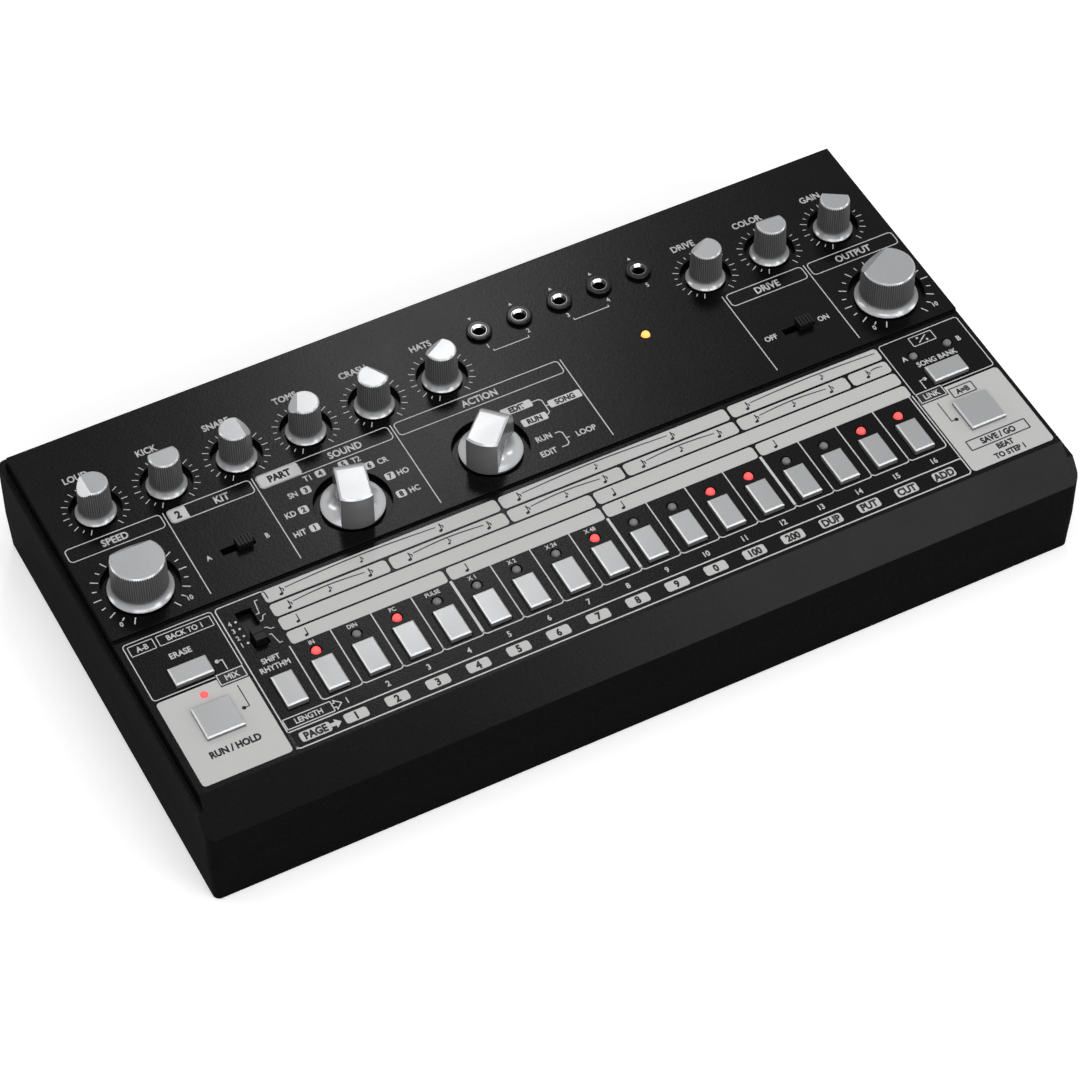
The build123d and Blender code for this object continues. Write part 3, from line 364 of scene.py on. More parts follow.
case_plastic = moulded_plastic("case_black", BLACK, 0.185, 0.2, 1.4, 0.05, side_gloss=0.07)
nut_plastic = moulded_plastic("nut_black", BLACK, 0.4, 0.14, 6.0, 0.004, 0.15)
slider_plastic = moulded_plastic("slider_grey", shade(BLACK, 2.5), 0.3, 0.3, 5.0, 0.008, 0.1)
switch_plastic = moulded_plastic("switch_black", (0.012, 0.012, 0.012), 0.5, 0.35, 4.0, 0.02, 0.2)
socket_plastic = moulded_plastic("socket_black", (0.01, 0.01, 0.01), 0.5, 0.3, 5.0, 0.02, 0.2)
# Only the knobs get painted shade in their flutes.
knob_paint = silver_paint("knob_silver", SILVER, 0.2, 0.2, 0.12, groove_shade=0.35)
selector_paint = silver_paint("selector_silver", shade(SILVER, 1.05), 0.2, 0.22, 0.15)
key_paint = silver_paint("key_silver", KEY_SILVER, 0.22, 0.18, 0.1)
chrome = plated_metal("socket_chrome", (0.8, 0.8, 0.79), 0.09, hollow_shade=0.02)
JACK_FIRST = 6.98
JACK_PITCH = 14.69
jack_row_low, jack_row_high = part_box("panel_minijacks")
panel_chrome = jack_metal("panel_socket_chrome", (0.75, 0.75, 0.74), MIDDLE_X + JACK_FIRST, JACK_PITCH,
                          (jack_row_low.y + jack_row_high.y) / 2 / MM)
tin = plated_metal("switch_metal", (0.55, 0.55, 0.53), 0.35, (1.0, 6.0, 1.0))
shell_steel = plated_metal("shell_steel", (0.6, 0.6, 0.59), 0.25, (6.0, 1.0, 1.0))
screw_zinc = plated_metal("screw_steel", (0.28, 0.28, 0.27), 0.4)
light_ink = printed_ink("light_ink", INK)
plate_ink = printed_ink("plate_ink", PLATE, 0.04)
dark_ink = printed_ink("dark_ink", DARK_INK)
red_lamp = lamp_plastic("lamp_red_lit", (0.5, 0.03, 0.03), RED_LIT, 1.0)
grey_lamp = lamp_plastic("lamp_off", LAMP_OFF)
amber_lamp = lamp_plastic("lamp_amber_lit", (0.6, 0.25, 0.05), AMBER_LIT, 1.25)
green_board = lacquered_board("board_green")
rubber = soft_rubber("foot_rubber")
flat_cable = ribbon_plastic("ribbon_grey")

finish_of_slot = {
    "case_black": case_plastic,
    "knob_silver": knob_paint,
    "selector_silver": selector_paint,
    "key_silver": key_paint,
    "slider_grey": slider_plastic,
    "board_green": green_board,
    "ribbon_grey": flat_cable,
    "switch_metal": tin,
    "switch_black": switch_plastic,
    "lamp_red": grey_lamp,
    "lamp_amber": amber_lamp,
    "socket_chrome": chrome,
    "nut_black": nut_plastic,
    "socket_black": socket_plastic,
    "shell_steel": shell_steel,
    "foot_rubber": rubber,
    "screw_steel": screw_zinc,
}
for part in frame["record"]["subparts"]:
    node = nodes[part["node"]]
    node.data.materials.clear()
    node.data.materials.append(finish_of_slot[part["material_slot"]])
nodes["panel_minijacks"].data.materials[0] = panel_chrome


# ---- Printing -------------------------------------------------------------------------------------
SHARP = 0.001             # radius of a corner that looks sharp
MITRE_LIMIT = 0.3
LIGHT_WEIGHT = 0.03       # swelling of the letters
DARK_WEIGHT = 0.05


def corner_arc(x, y, radius, start, pieces=5):
    """Points of a quarter circle from an angle in degrees, counter-clockwise."""
    angles = [math.radians(start + 90 * i / pieces) for i in range(pieces + 1)]
    return [(x + radius * math.cos(a), y + radius * math.sin(a)) for a in angles]


def rounded(x0, x1, y0, y1, radius):
    """Counter-clockwise rounded rectangle, with one radius, or four from the right back corner on."""
    radii = radius if isinstance(radius, tuple) else (radius,) * 4
    corners = [(x1 - radii[0], y1 - radii[0]), (x0 + radii[1], y1 - radii[1]),
               (x0 + radii[2], y0 + radii[2]), (x1 - radii[3], y0 + radii[3])]
    loop = []
    for i, (x, y) in enumerate(corners):
        loop += corner_arc(x, y, max(radii[i], SHARP), 90 * i)
    return loop


class Printing:
    """Flat ink shapes at one height, gathered into one thin mesh."""

    def __init__(self, name, height, ink, slot, thickness=0.03):
        self.name = name
        self.height = height
        self.ink = ink
        self.slot = slot
        self.thickness = thickness
        self.mesh = bmesh.new()

    def vertex(self, x, y):
        return self.mesh.verts.new(((MIDDLE_X + x) * MM, (MIDDLE_Y + y) * MM, self.height * MM))

    def face(self, loop):
        self.mesh.faces.new([self.vertex(x, y) for x, y in loop])

    def band(self, left, right, closed=False):
        """Strip of quads between two rows of points."""
        a = [self.vertex(x, y) for x, y in left]
        b = [self.vertex(x, y) for x, y in right]
        count = len(a)
        for i in range(count if closed else count - 1):
            j = (i + 1) % count
            self.mesh.faces.new((a[i], b[i], b[j], a[j]))

    def plate(self, x0, x1, y0, y1, radius=0.8):
        self.face(rounded(x0, x1, y0, y1, radius))

    def outline(self, x0, x1, y0, y1, radius=1.2, stroke=0.33):
        half = stroke / 2
        radii = radius if isinstance(radius, tuple) else (radius,) * 4
        wide = tuple(r + half for r in radii)
        tight = tuple(max(r - half, 0) for r in radii)
        outer = rounded(x0 - half, x1 + half, y0 - half, y1 + half, wide)
        inner = rounded(x0 + half, x1 - half, y0 + half, y1 - half, tight)
        self.band(inner, outer, True)

    def line(self, points, width=0.33):
        """Stroke along a polyline, with mitred bends."""
        left, right = [], []
        for i, (x, y) in enumerate(points):
            before = points[max(i - 1, 0)]
            after = points[min(i + 1, len(points) - 1)]
            d0 = Vector((x - before[0], y - before[1]))
            d1 = Vector((after[0] - x, after[1] - y))
            d0 = (d0 if d0.length else d1).normalized()
            d1 = (d1 if d1.length else d0).normalized()
            across = Vector((-d0.y - d1.y, d0.x + d1.x)).normalized()
            reach = width / 2 / max(MITRE_LIMIT, across.dot(Vector((-d0.y, d0.x))))
            left.append((x + across.x * reach, y + across.y * reach))
            right.append((x - across.x * reach, y - across.y * reach))
        self.band(left, right)

    def disc(self, x, y, radius, flat=1.0, turn=0.0, sides=20):
        loop = []
        c, s = math.cos(turn), math.sin(turn)
        for i in range(sides):
            a = 2 * math.pi * i / sides
            u, v = radius * math.cos(a), radius * flat * math.sin(a)
            loop.append((x + u * c - v * s, y + u * s + v * c))
        self.face(loop)

    def words(self, text, x, y, cap, narrow=0.84):
        """Capitals of a height, centred on a place, and bolder in dark ink."""
        curve = bpy.data.curves.new("words", "FONT")
        curve.body = text
        curve.size = 1.0
        curve.align_x = "CENTER"
        curve.offset = DARK_WEIGHT if self.ink is dark_ink else LIGHT_WEIGHT
        curve.resolution_u = 3
        holder = bpy.data.objects.new("words", curve)
        scene.collection.objects.link(holder)
        bpy.context.view_layer.update()
        graph = bpy.context.evaluated_depsgraph_get()
        letters = bpy.data.meshes.new_from_object(holder.evaluated_get(graph))
        heights = [v.co.y for v in letters.vertices]
        low, high = min(heights), max(heights)
        size = cap / (high - low)
        for v in letters.vertices:
            v.co = ((MIDDLE_X + x + v.co.x * size * narrow) * MM,
                    (MIDDLE_Y + y + (v.co.y - (low + high) / 2) * size) * MM, self.height * MM)
        self.mesh.from_mesh(letters)
        bpy.data.objects.remove(holder)
        bpy.data.curves.remove(curve)
        bpy.data.meshes.remove(letters)

    def build(self):
        data = bpy.data.meshes.new(self.name)
        bmesh.ops.remove_doubles(self.mesh, verts=self.mesh.verts, dist=1e-7)
        for face in self.mesh.faces:
            face.normal_update()
        bmesh.ops.reverse_faces(self.mesh, faces=[f for f in self.mesh.faces if f.normal.z < 0])
        self.mesh.to_mesh(data)
        self.mesh.free()
        piece = bpy.data.objects.new(self.name, data)
        scene.collection.objects.link(piece)
        data.materials.append(self.ink)
        thick = piece.modifiers.new("ink_thickness", "SOLIDIFY")
        thick.thickness = self.thickness * MM
        thick.offset = 1.0
        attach(piece, "case")


PLATE_LIFT = 0.01
INK_LIFT = 0.03
BOX_LIFT = 0.05
upper = Printing("upper_deck_legends", DECK + PLATE_LIFT, light_ink, "key_silver")
upper_dark = Printing("upper_deck_dark_legends", DECK + INK_LIFT, dark_ink, "case_black")
lower = Printing("key_deck_legends", KEY_DECK + PLATE_LIFT, light_ink, "key_silver")
plates = Printing("key_deck_plates", KEY_DECK + PLATE_LIFT, plate_ink, "key_silver")
lower_dark = Printing("key_deck_dark_legends", KEY_DECK + INK_LIFT, dark_ink, "case_black")
boxed = Printing("key_deck_boxed_legends", KEY_DECK + BOX_LIFT, light_ink, "key_silver")


# Knobs: a scale around each, and a word behind each small one.
FIRST_TICK = 240
TICK_STEP = 15
TICK_TRIM = 0.22          # part that a short tick lacks at each end


def scale_ticks(x, y, near, far, width):
    """Scale around a knob: eleven long ticks, with a short one between each pair."""
    for i in range(21):
        angle = math.radians(FIRST_TICK - TICK_STEP * i)
        trim = 0.0 if i % 2 == 0 else TICK_TRIM * (far - near)
        a, b = near + trim, far - trim
        upper.line([(x + a * math.cos(angle), y + a * math.sin(angle)),
                    (x + b * math.cos(angle), y + b * math.sin(angle))], width)


small_knobs = {"accent_knob": "LOUD", "kick_knob": "KICK", "snare_knob": "SNARE", "toms_knob": "TOMS",
               "cymbal_knob": "CRASH", "hats_knob": "HATS", "drive_knob": "DRIVE", "tone_knob": "COLOR",
               "level_knob": "GAIN"}
LABEL_ROW = 58.8
SMALL_KNOB_ROW = 44.1
LARGE_KNOB_ROW = 9.4
SCALE_END_ROW = -2.3
SCALE_END = 11.4
for node, word in small_knobs.items():
    x = centre(node).x - MIDDLE_X
    scale_ticks(x, SMALL_KNOB_ROW, 8.8, 10.9, 0.27)
    upper.words(word, x - 0.6, LABEL_ROW, 2.8)
for node in ("tempo_knob", "volume_knob"):
    x = centre(node).x - MIDDLE_X
    scale_ticks(x, LARGE_KNOB_ROW, 13.0, 15.6, 0.38)
    upper.words("0", x - SCALE_END, SCALE_END_ROW, 2.0)
    upper.words("10", x + SCALE_END, SCALE_END_ROW, 2.0)

# Header frames over the controls, with their dividing lines.
HEADER_LOW = 27.1
HEADER_HIGH = 32.7
HEADER_MIDDLE = (HEADER_LOW + HEADER_HIGH) / 2
HEADER_CORNER = 1.3
for x0, x1 in ((-148.9, -116.6), (-114.4, -85.9), (-83.8, -37.5),
               (-35.3, 23.7), (85.9, 114.2), (116.4, 148.7)):
    upper.outline(x0, x1, HEADER_LOW, HEADER_HIGH, HEADER_CORNER)
DIVIDER_FRONT = -4.0
for x in (-115.5, -84.9, -36.4, 24.8, 84.7, 115.3):
    upper.line([(x, HEADER_HIGH), (x, DIVIDER_FRONT)])
for word, x in (("SPEED", -132.9), ("KIT", -96.6), ("SOUND", -53.6), ("ACTION", -5.8), ("DRIVE", 100.0),
                ("OUTPUT", 132.6)):
    upper.words(word, x, HEADER_MIDDLE, 3.0)
upper.plate(-114.4, -108.3, HEADER_LOW, HEADER_HIGH, (SHARP, HEADER_CORNER, HEADER_CORNER, SHARP))
upper.plate(-83.8, -69.5, HEADER_LOW, HEADER_HIGH, HEADER_CORNER)
upper_dark.words("2", -111.4, HEADER_MIDDLE, 3.3)
upper_dark.words("PART", -76.6, HEADER_MIDDLE, 3.0)

# Slide switches.
SWITCH_ROW = 9.3
for word, x, cap in (("A", -110.2, 2.1), ("B", -90.3, 2.1), ("OFF", 89.8, 2.3), ("ON", 109.4, 2.3)):
    upper.words(word, x, SWITCH_ROW, cap)

# Places of the sound selector, numbered tags with a short word beside each.
tags = ((-75.8, 5.3, "HIT", -80.9), (-75.8, 13.5, "KD", -80.3), (-71.7, 20.5, "SN", -76.2),
        (-64.7, 24.7, "T1", -69.0), (-56.6, 24.7, "T2", -52.3), (-49.6, 20.5, "CR", -45.0),
        (-45.7, 13.5, "HO", -41.2), (-45.7, 5.3, "HC", -41.2))
for number, (x, y, word, word_x) in enumerate(tags, 1):
    upper.plate(x - 1.6, x + 1.6, y - 1.5, y + 1.5, 0.7)
    upper_dark.words(str(number), x, y, 2.3)
    upper.words(word, word_x, y, 2.4)

# Places of the mode selector, joined by brackets.
for x0, x1, y, word in ((-2.7, 8.1, 20.5, "EDIT"), (1.2, 10.1, 13.5, "RUN"), (12.6, 24.1, 17.0, "SONG")):
    upper.plate(x0, x1, y - 1.6, y + 1.6, 0.6)
    upper_dark.words(word, (x0 + x1) / 2, y, 2.4)
upper.line([(8.1, 20.5), (10.6, 20.5), (11.4, 19.7), (11.4, 14.3), (10.6, 13.5), (10.1, 13.5)], 0.35)
upper.line([(11.4, 17.0), (12.6, 17.0)], 0.35)
upper.words("RUN", 4.6, 5.3, 2.4)
upper.words("EDIT", 3.2, -0.9, 2.4)
upper.words("LOOP", 18.0, 1.9, 2.4)
upper.line([(8.6, 5.3), (10.1, 5.3), (10.9, 4.5), (10.9, -0.1), (10.1, -0.9), (8.0, -0.9)], 0.35)
upper.line([(10.9, 1.9), (12.2, 1.9)], 0.35)

# Sockets on the upper deck: a small arrow behind each, and a number in front.
ARROW = 0.62
ARROW_ROW = 62.1
JACK_NUMBER_ROW = 48.9
BRACKET_ENDS = 46.9
BRACKET = 46.1
for i in range(5):
    x = JACK_FIRST + JACK_PITCH * i
    point = -ARROW if i == 0 else ARROW
    upper.face([(x - ARROW, ARROW_ROW - point), (x + ARROW, ARROW_ROW - point), (x, ARROW_ROW + point)])
    upper.words(str(i + 1), x, JACK_NUMBER_ROW, 1.9)
for x0, x1 in ((7.9, 20.6), (37.3, 49.9)):
    upper.line([(x0, BRACKET_ENDS), (x0, BRACKET), (x1, BRACKET), (x1, BRACKET_ENDS)], 0.3)

# Left block of the key deck.
SIDE_BLOCK = (-33.4, -9.5)
SIDE_PLATE = (-69.6, -34.5)
SMALL_BOX = (-14.8, -10.8)
lower.outline(-147.9, -118.3, *SIDE_BLOCK, 1.1)
lower.outline(-146.7, -138.6, *SMALL_BOX, 0.25, 0.3)
lower.outline(-137.3, -119.4, *SMALL_BOX, 0.25, 0.3)
lower.words("A-B", -142.6, -12.8, 2.2)
lower.words("BACK TO 1", -128.4, -12.8, 2.2)
lower.words("ERASE", -133.1, -19.9, 2.4)
plates.plate(-147.8, -118.3, *SIDE_PLATE, 1.3)
BOX_BACK = -33.1
BOX_FRONT = -37.2
for x0, x1, word, size in ((-127.3, -118.4, "MIX", 2.3), (119.0, 128.4, "LINK", 2.3)):
    lower_dark.plate(x0 - 0.3, x1 + 0.3, BOX_FRONT - 0.7, BOX_BACK + 0.3, 0.1)
    boxed.outline(x0 + 0.15, x1 - 0.15, BOX_FRONT, BOX_BACK, 0.05, 0.35)
    boxed.words(word, (x0 + x1) / 2, (BOX_FRONT + BOX_BACK) / 2, size)
lower_dark.words("RUN / HOLD", -133.0, -59.9, 2.8)


def pointers(x, back_dot, back_row, front_dot, front_row=-48.1):
    """Dots with bent lines that lead from the button behind and the one in front to the boxed word."""
    lower.disc(back_dot, back_row, 0.7)
    lower.line([(back_dot, back_row), (x, back_row), (x, -32.3)], 0.35)
    lower_dark.line([(x, -39.3), (x, front_row), (front_dot, front_row)], 0.35)
    lower_dark.disc(front_dot, front_row, 0.7)


pointers(-122.9, -124.6, -28.2, -124.7)
pointers(123.5, 125.3, -28.4, 125.3)

# Right block.
lower.outline(119.0, 148.4, *SIDE_BLOCK, 1.1)
lower.outline(129.6, 137.9, *SMALL_BOX, 0.25, 0.3)
lower.line([(132.0, -14.0), (135.4, -11.6)], 0.35)
for x, y in ((132.3, -11.9), (135.1, -13.7)):
    lower.disc(x, y, 0.4)
lower.words("A", 123.9, -18.0, 2.2)
lower.words("B", 144.2, -18.0, 2.2)
lower.words("SONG BANK", 133.5, -22.2, 2.3)
plates.plate(118.6, 148.6, *SIDE_PLATE, 1.3)
lower_dark.outline(129.6, 137.8, -40.0, -36.0, 0.25, 0.42)
lower_dark.words("A=B", 133.7, -38.0, 2.4)
lower_dark.outline(122.8, 144.4, -61.8, -57.7, 0.25, 0.45)
lower_dark.words("SAVE / GO", 133.6, -59.7, 2.6)
lower_dark.words("BEAT", 133.6, -63.9, 2.4)
lower_dark.words("TO STEP 1", 133.6, -67.3, 2.4)

# Scale switch and function key.
lower.line(corner_arc(-101.7, -10.8, 1.3, 0) + corner_arc(-115.8, -10.8, 1.3, 90) + [(-117.1, -69.6)], 0.4)
lower.line([(-100.4, -10.8), (-100.4, -13.0)], 0.4)
for number, y in zip((4, 3, 2, 1), (-16.9, -19.9, -23.0, -26.0)):
    lower.words(str(number), -115.2, y, 1.9)
    lower.disc(-113.2, y, 0.42)
for leader in (((-106.37, -17.0), (-105.28, -16.99), (-104.65, -11.98), (-103.51, -11.95)),
               ((-106.34, -19.99), (-105.4, -19.86), (-104.69, -18.33), (-103.62, -18.0)),
               ((-106.4, -22.88), (-105.59, -22.95), (-104.76, -24.05), (-103.54, -24.11)),
               ((-106.15, -25.97), (-105.36, -26.07), (-104.56, -30.32), (-103.53, -30.29))):
    lower.line(leader, 0.3)
lower.words("SHIFT", -109.7, -34.7, 2.2)
lower.words("RHYTHM", -109.7, -38.0, 2.2)

# Bars over the steps: four rows of light plates that mark how each scale counts the steps.
bar_rows = (
    (-14.7, -9.5, ((-101.5, -20.6), (-19.7, 61.6), (62.6, 117.9))),
    (-20.8, -15.6, ((-101.5, -61.9), (-60.9, -20.6), (-19.7, 20.5), (21.4, 61.6), (62.6, 102.7),
                    (103.7, 117.9))),
    (-26.9, -21.6, ((-101.5, 6.7), (7.6, 117.9))),
    (-32.9, -27.7, ((-101.5, -48.2), (-47.1, 6.7), (7.6, 61.6), (62.6, 117.9))),
)
for y0, y1, bars in bar_rows:
    for x0, x1 in bars:
        plates.plate(x0, x1, y0, y1, 1.2)

STEP_PITCH = 13.71
FIRST_STEP = -95.97


def step_x(step):
    return FIRST_STEP + STEP_PITCH * (step - 1)


def note(x, y, size=1.0, flag=True):
    """Small note: a leaning head, its stem and, for a short note, a flag."""
    lower_dark.disc(x, y - 1.15 * size, 0.72 * size, 0.72, math.radians(20), 14)
    lower_dark.line([(x + 0.5 * size, y - 1.05 * size), (x + 0.5 * size, y + 1.75 * size)], 0.34 * size)
    if flag:
        lower_dark.line([(x + 0.5 * size, y + 1.7 * size), (x + 0.62 * size, y + 0.95 * size),
                         (x + 1.25 * size, y + 0.45 * size), (x + 1.15 * size, y - 0.4 * size)], 0.4 * size)


SLUR_HALF = 0.17
SLUR_SWELL = 0.12


def slur(x0, x1, y, rise):
    """Thin arc from one note to another, swelling in the middle."""
    left, right = [], []
    for i in range(17):
        t = i / 16
        arch = math.sin(math.pi * t)
        x = x0 + (x1 - x0) * t
        left.append((x, y + rise * arch + SLUR_HALF + SLUR_SWELL * arch))
        right.append((x, y + rise * arch - SLUR_HALF))
    lower_dark.band(left, right)


def triplet(first, second, last, row, rise=0.9):
    """Three notes tied by a slur, the middle one small."""
    note(step_x(first), row)
    note(step_x(second), row - 0.15, 0.72)
    note(step_x(last), row)
    slur(step_x(first) + 1.9, step_x(last) - 1.0, row + 0.75, rise)


ROW_1, ROW_2, ROW_3, ROW_4 = -12.1, -18.2, -24.25, -30.3
for first in (1, 7):
    triplet(first, first + 2, first + 4, ROW_1)
note(step_x(13), ROW_1)
note(step_x(15), ROW_1 - 0.15, 0.72)
slur(step_x(13) + 1.9, 116.6, ROW_1 + 0.75, 0.7)
for first in (1, 4, 7, 10, 13):
    triplet(first, first + 1, first + 2, ROW_2, 0.7)
note(step_x(16), ROW_2)
slur(step_x(16) + 1.9, 116.0, ROW_2 + 0.75, 0.35)
for step in (1, 9):
    note(step_x(step), ROW_3, 1.0, False)
for step in (1, 5, 9, 13):
    note(step_x(step), ROW_4, 1.0, False)

# Cells around the step keys, their numbers and the strip of tags in front.
CELL_BACK = -32.9
CELL_FRONT = -56.5
CELL_CORNER = 1.3
CELL_TURN = CELL_FRONT + CELL_CORNER
CELL_STROKE = 0.4
BEAT_STROKE = 0.9
NUMBER_ROW = -59.8
FIRST_LINE = step_x(1) - 6.6
for step in range(1, 17):
    x0 = FIRST_LINE + STEP_PITCH * (step - 1)
    x1 = x0 + STEP_PITCH
    lower.line([(x0, CELL_BACK), (x0, CELL_TURN)], BEAT_STROKE if step in (5, 9, 13) else CELL_STROKE)
    lower.line(corner_arc(x0 + CELL_CORNER, CELL_TURN, CELL_CORNER, 180)
               + corner_arc(x1 - CELL_CORNER, CELL_TURN, CELL_CORNER, 270), CELL_STROKE)
    lower.words(str(step), step_x(step), NUMBER_ROW, 2.3)
last_line = FIRST_LINE + 16 * STEP_PITCH
lower.line([(last_line, CELL_BACK), (last_line, CELL_TURN)], CELL_STROKE)
lower.line([(117.9, CELL_BACK), (117.9, -63.0)], CELL_STROKE)
for step, word in enumerate(("IN", "DIN", "PC", "PULSE", "X 1", "X 2", "X 24", "X 48"), 1):
    lower.words(word, step_x(step), -34.6, 1.7)
lower.outline(-116.6, -100.9, -61.8, -57.8, 0.25, 0.35)
lower.words("LENGTH", -108.8, NUMBER_ROW, 2.2)
lower.line([(-100.9, -59.0), (-99.9, -59.0), (-99.9, -58.0), (-97.9, NUMBER_ROW), (-99.9, -61.6),
            (-99.9, -60.6), (-100.9, -60.6)], 0.35)
lower.outline(-117.1, 117.9, -69.7, -62.8, (0.8, SHARP, 1.3, 1.3), 0.45)
TAG_LOW = -68.1
TAG_HIGH = -64.3
TAG_MIDDLE = (TAG_LOW + TAG_HIGH) / 2
TAG_REACH = 3.85
strip_tags = ("1", "2", "3", "4", "5", "6", "7", "8", "9", "0", "100", "200", "DUP", "PUT", "CUT", "ADD")
for step, word in enumerate(strip_tags, 1):
    plates.plate(step_x(step) - TAG_REACH, step_x(step) + TAG_REACH, TAG_LOW, TAG_HIGH, 0.9)
    lower_dark.words(word, step_x(step), TAG_MIDDLE, 3.0)
plates.plate(-114.6, -104.5, TAG_LOW, TAG_HIGH, 0.9)
plates.face([(-104.6, -65.5), (-102.9, -65.5), (-102.9, -64.4), (-100.9, -66.2), (-102.9, -68.0),
             (-102.9, -66.9), (-104.6, -66.9)])
lower_dark.words("PAGE", -109.5, TAG_MIDDLE, 3.0)

for printing in (upper, upper_dark, lower, plates, lower_dark, boxed):
    printing.build()


# ---- Lamps ----------------------------------------------------------------------------------------
def turned(name, profile, x, y, sides=32):
    """Closed solid turned about an upright axis, from (radius, height) points that end on the axis."""
    mesh = bmesh.new()
    rings = []
    for radius, height in profile:
        if radius < 1e-6:
            rings.append([mesh.verts.new((x * MM, y * MM, height * MM))])
            continue
        ring = []
        for i in range(sides):
            a = 2 * math.pi * i / sides
            u, v = x + radius * math.cos(a), y + radius * math.sin(a)
            ring.append(mesh.verts.new((u * MM, v * MM, height * MM)))
        rings.append(ring)
    for low, high in zip(rings, rings[1:]):
        for i in range(sides):
            j = (i + 1) % sides
            loop = [low[i % len(low)], low[j % len(low)], high[j % len(high)], high[i % len(high)]]
            mesh.faces.new(list(dict.fromkeys(loop)))
    bmesh.ops.recalc_face_normals(mesh, faces=mesh.faces)
    data = bpy.data.meshes.new(name)
    mesh.to_mesh(data)
    mesh.free()
    for polygon in data.polygons:
        polygon.use_smooth = True
    piece = bpy.data.objects.new(name, data)
    scene.collection.objects.link(piece)
    return piece


LAMP_RADIUS = 1.5
LAMP_BODY = 5.2
FLANGE_RADIUS = 1.9
FLANGE = 0.8


def lamp(name, x, y, top, node, finish):
    """Domed lamp in the place of its CAD solid: flange, barrel and a round lens."""
    base = top - LAMP_BODY
    dome = top - LAMP_RADIUS
    profile = [(0, base), (FLANGE_RADIUS, base), (FLANGE_RADIUS, base + FLANGE),
               (LAMP_RADIUS, base + FLANGE), (LAMP_RADIUS, dome)]
    for i in range(1, 7):
        a = math.radians(15 * i)
        profile.append((LAMP_RADIUS * math.cos(a) if i < 6 else 0, dome + LAMP_RADIUS * math.sin(a)))
    piece = turned(name, profile, x, y)
    piece.data.materials.append(finish)
    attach(piece, "case")
    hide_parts(node)


LIT_STEPS = (1, 3, 8, 11, 12, 15, 16)
BANK_LAMP_PITCH = 12.7
low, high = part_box("red_leds")
lamp_top = high.z / MM
lamp_row = low.y / MM + FLANGE_RADIUS
bank_row = high.y / MM - FLANGE_RADIUS
last_lamp = high.x / MM - FLANGE_RADIUS
red_places = [("step_lamp_%02d" % step, MIDDLE_X + step_x(step), lamp_row, step in LIT_STEPS)
              for step in range(1, 17)]
red_places += [("run_lamp", low.x / MM + FLANGE_RADIUS, lamp_row, True),
               ("bank_a_lamp", last_lamp - BANK_LAMP_PITCH, bank_row, False),
               ("bank_b_lamp", last_lamp, bank_row, False)]
for name, x, y, lit in red_places:
    lamp(name, x, y, lamp_top, "red_leds", red_lamp if lit else grey_lamp)
middle = centre("power_led")
lamp("power_lamp", middle.x, middle.y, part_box("power_led")[1].z / MM, "power_led", amber_lamp)


# ---- Floor, world, lights and camera --------------------------------------------------------------
FLOOR_REACH = 6.0         # in metres
FLOOR_LIFT = 0.37         # light that the floor gives the camera alone
WORLD_LIGHT = 0.16        # the world's strength, apart from what the camera and reflections see


def floor():
    """Wide white floor that keeps the object's shadow."""
    mesh = bmesh.new()
    corners = ((-1, -1), (1, -1), (1, 1), (-1, 1))
    mesh.faces.new([mesh.verts.new((x * FLOOR_REACH, y * FLOOR_REACH, 0)) for x, y in corners])
    data = bpy.data.meshes.new("floor")
    mesh.to_mesh(data)
    mesh.free()
    piece = bpy.data.objects.new("floor", data)
    scene.collection.objects.link(piece)
    m = Nodes("floor_white")
    m.paint((0.92, 0.92, 0.92))
    m.set(Roughness=0.9, Specular_IOR_Level=0.0, Emission_Color=WHITE)
    seen = m.add("ShaderNodeLightPath").outputs["Is Camera Ray"]
    m.link(m.combined("MULTIPLY", seen, FLOOR_LIFT), m.shader.inputs["Emission Strength"])
    data.materials.append(m.material)


def white_world():
    """Even ambient light, and a white background for the camera and for reflections."""
    world = bpy.data.worlds.new("studio")
    scene.world = world
    world.use_nodes = True
    tree = world.node_tree
    background = tree.nodes["Background"]
    background.inputs["Color"].default_value = WHITE
    rays = tree.nodes.new("ShaderNodeLightPath")
    seen = rays.outputs["Is Camera Ray"]
    for kind in ("Is Glossy Ray", "Is Transmission Ray"):
        either = tree.nodes.new("ShaderNodeMath")
        either.operation = "MAXIMUM"
        tree.links.new(seen, either.inputs[0])
        tree.links.new(rays.outputs[kind], either.inputs[1])
        seen = either.outputs[0]
    strength = tree.nodes.new("ShaderNodeMapRange")
    strength.inputs["To Min"].default_value = WORLD_LIGHT
    strength.inputs["To Max"].default_value = 1.0
    tree.links.new(seen, strength.inputs["Value"])
    tree.links.new(strength.outputs["Result"], background.inputs["Strength"])


DECK_MIDDLE = Vector((0.0, 0.0, 0.044))


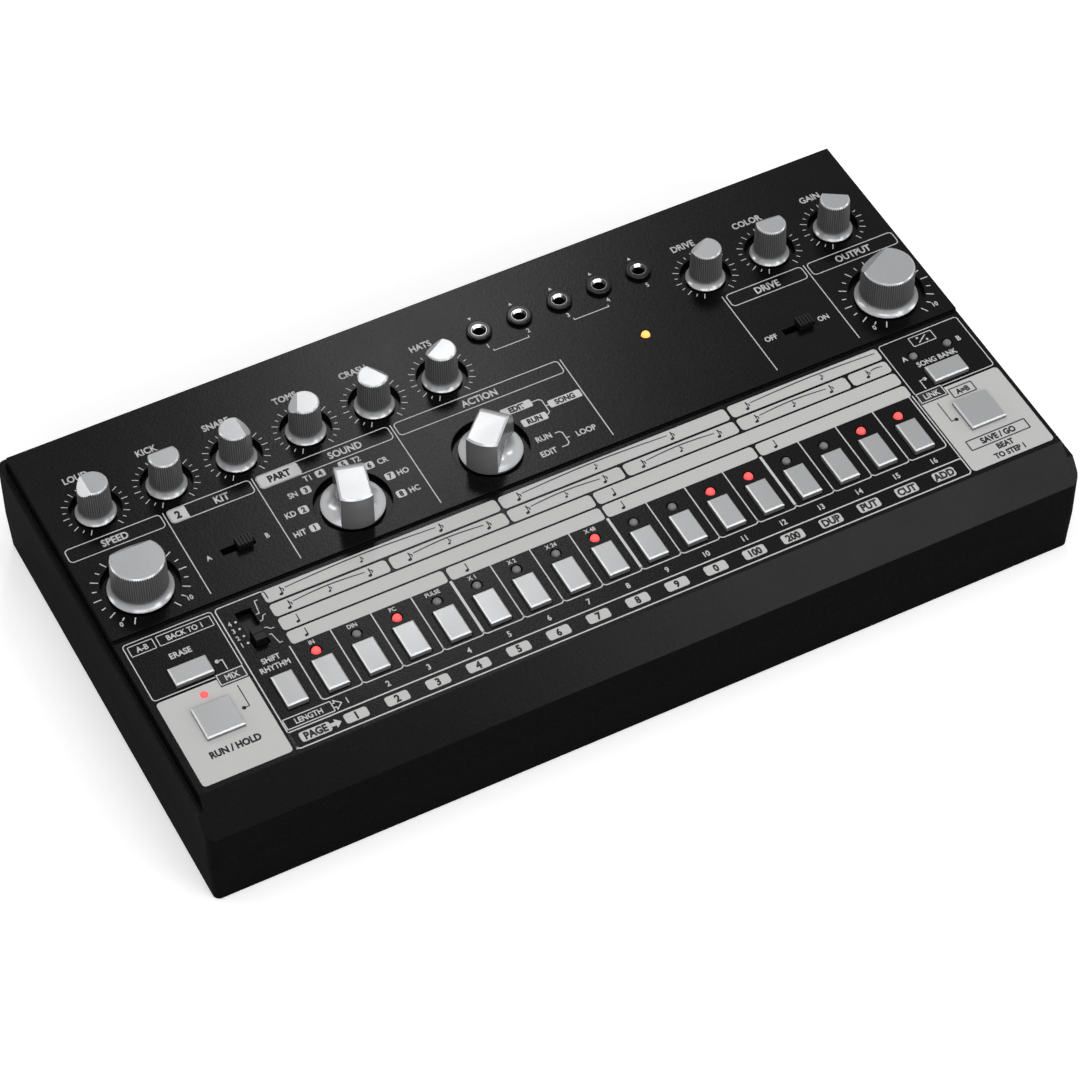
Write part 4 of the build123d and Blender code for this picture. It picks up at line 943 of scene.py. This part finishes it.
def area_light(name, place, size, power):
    """Soft box at a place in metres, turned to the middle of the deck."""
    data = bpy.data.lights.new(name, "AREA")
    data.shape = "RECTANGLE"
    data.size, data.size_y = size
    data.energy = power
    holder = bpy.data.objects.new(name, data)
    scene.collection.objects.link(holder)
    holder.location = place
    holder.rotation_euler = (DECK_MIDDLE - Vector(place)).to_track_quat("-Z", "Y").to_euler()


def from_deck(azimuth, elevation, distance):
    """Place in metres seen from the deck's middle, with the azimuth counter-clockwise from +X."""
    a, e = math.radians(azimuth), math.radians(elevation)
    outward = Vector((math.cos(e) * math.cos(a), math.cos(e) * math.sin(a), math.sin(e)))
    return DECK_MIDDLE + distance * outward


floor()
white_world()
area_light("overhead", (-0.1, -0.1, 1.5), (1.4, 1.0), 9.5)
# Each of the others is seen in one kind of face: its azimuth, elevation, distance, size and power.
soft_boxes = {
    "back_strip": (67.0, 42.0, 2.0, (0.2, 0.8), 4.7),
    "front_box": (-120.0, 38.0, 1.8, (1.1, 0.3), 5.6),
    "key_edge_box": (-72.0, 35.0, 1.8, (1.0, 0.3), 5.2),
    "slope_box": (-64.0, 21.0, 1.5, (0.45, 0.3), 2.5),
    "left_box": (144.0, 17.0, 1.5, (0.8, 0.3), 3.6),
    "right_box": (-21.0, 19.0, 1.5, (0.6, 0.3), 2.6),
}
for name, (azimuth, elevation, distance, size, power) in soft_boxes.items():
    area_light(name, from_deck(azimuth, elevation, distance), size, power)

# The camera's place, its turn about each axis and its field of view follow the photograph's angle.
FRAME_PIXELS = 1080
FOCAL_PIXELS = 3985.7
SENSOR = 36.0
CAMERA_PLACE = (-0.38039, -0.74046, 0.99261)
AZIMUTH, ELEVATION, ROLL = -27.2618, 50.0212, -0.2984
camera_data = bpy.data.cameras.new("camera")
camera_data.sensor_width = SENSOR
camera_data.lens = SENSOR * FOCAL_PIXELS / FRAME_PIXELS
camera_data.clip_start = 0.01
camera = bpy.data.objects.new("camera", camera_data)
scene.collection.objects.link(camera)
scene.camera = camera
camera.matrix_world = (
    Matrix.Translation(CAMERA_PLACE)
    @ Matrix.Rotation(math.radians(AZIMUTH), 4, "Z")
    @ Matrix.Rotation(math.radians(90 - ELEVATION), 4, "X")
    @ Matrix.Rotation(math.radians(ROLL), 4, "Z")
)
scene.view_settings.view_transform = "Standard"

bpy.context.view_layer.update()
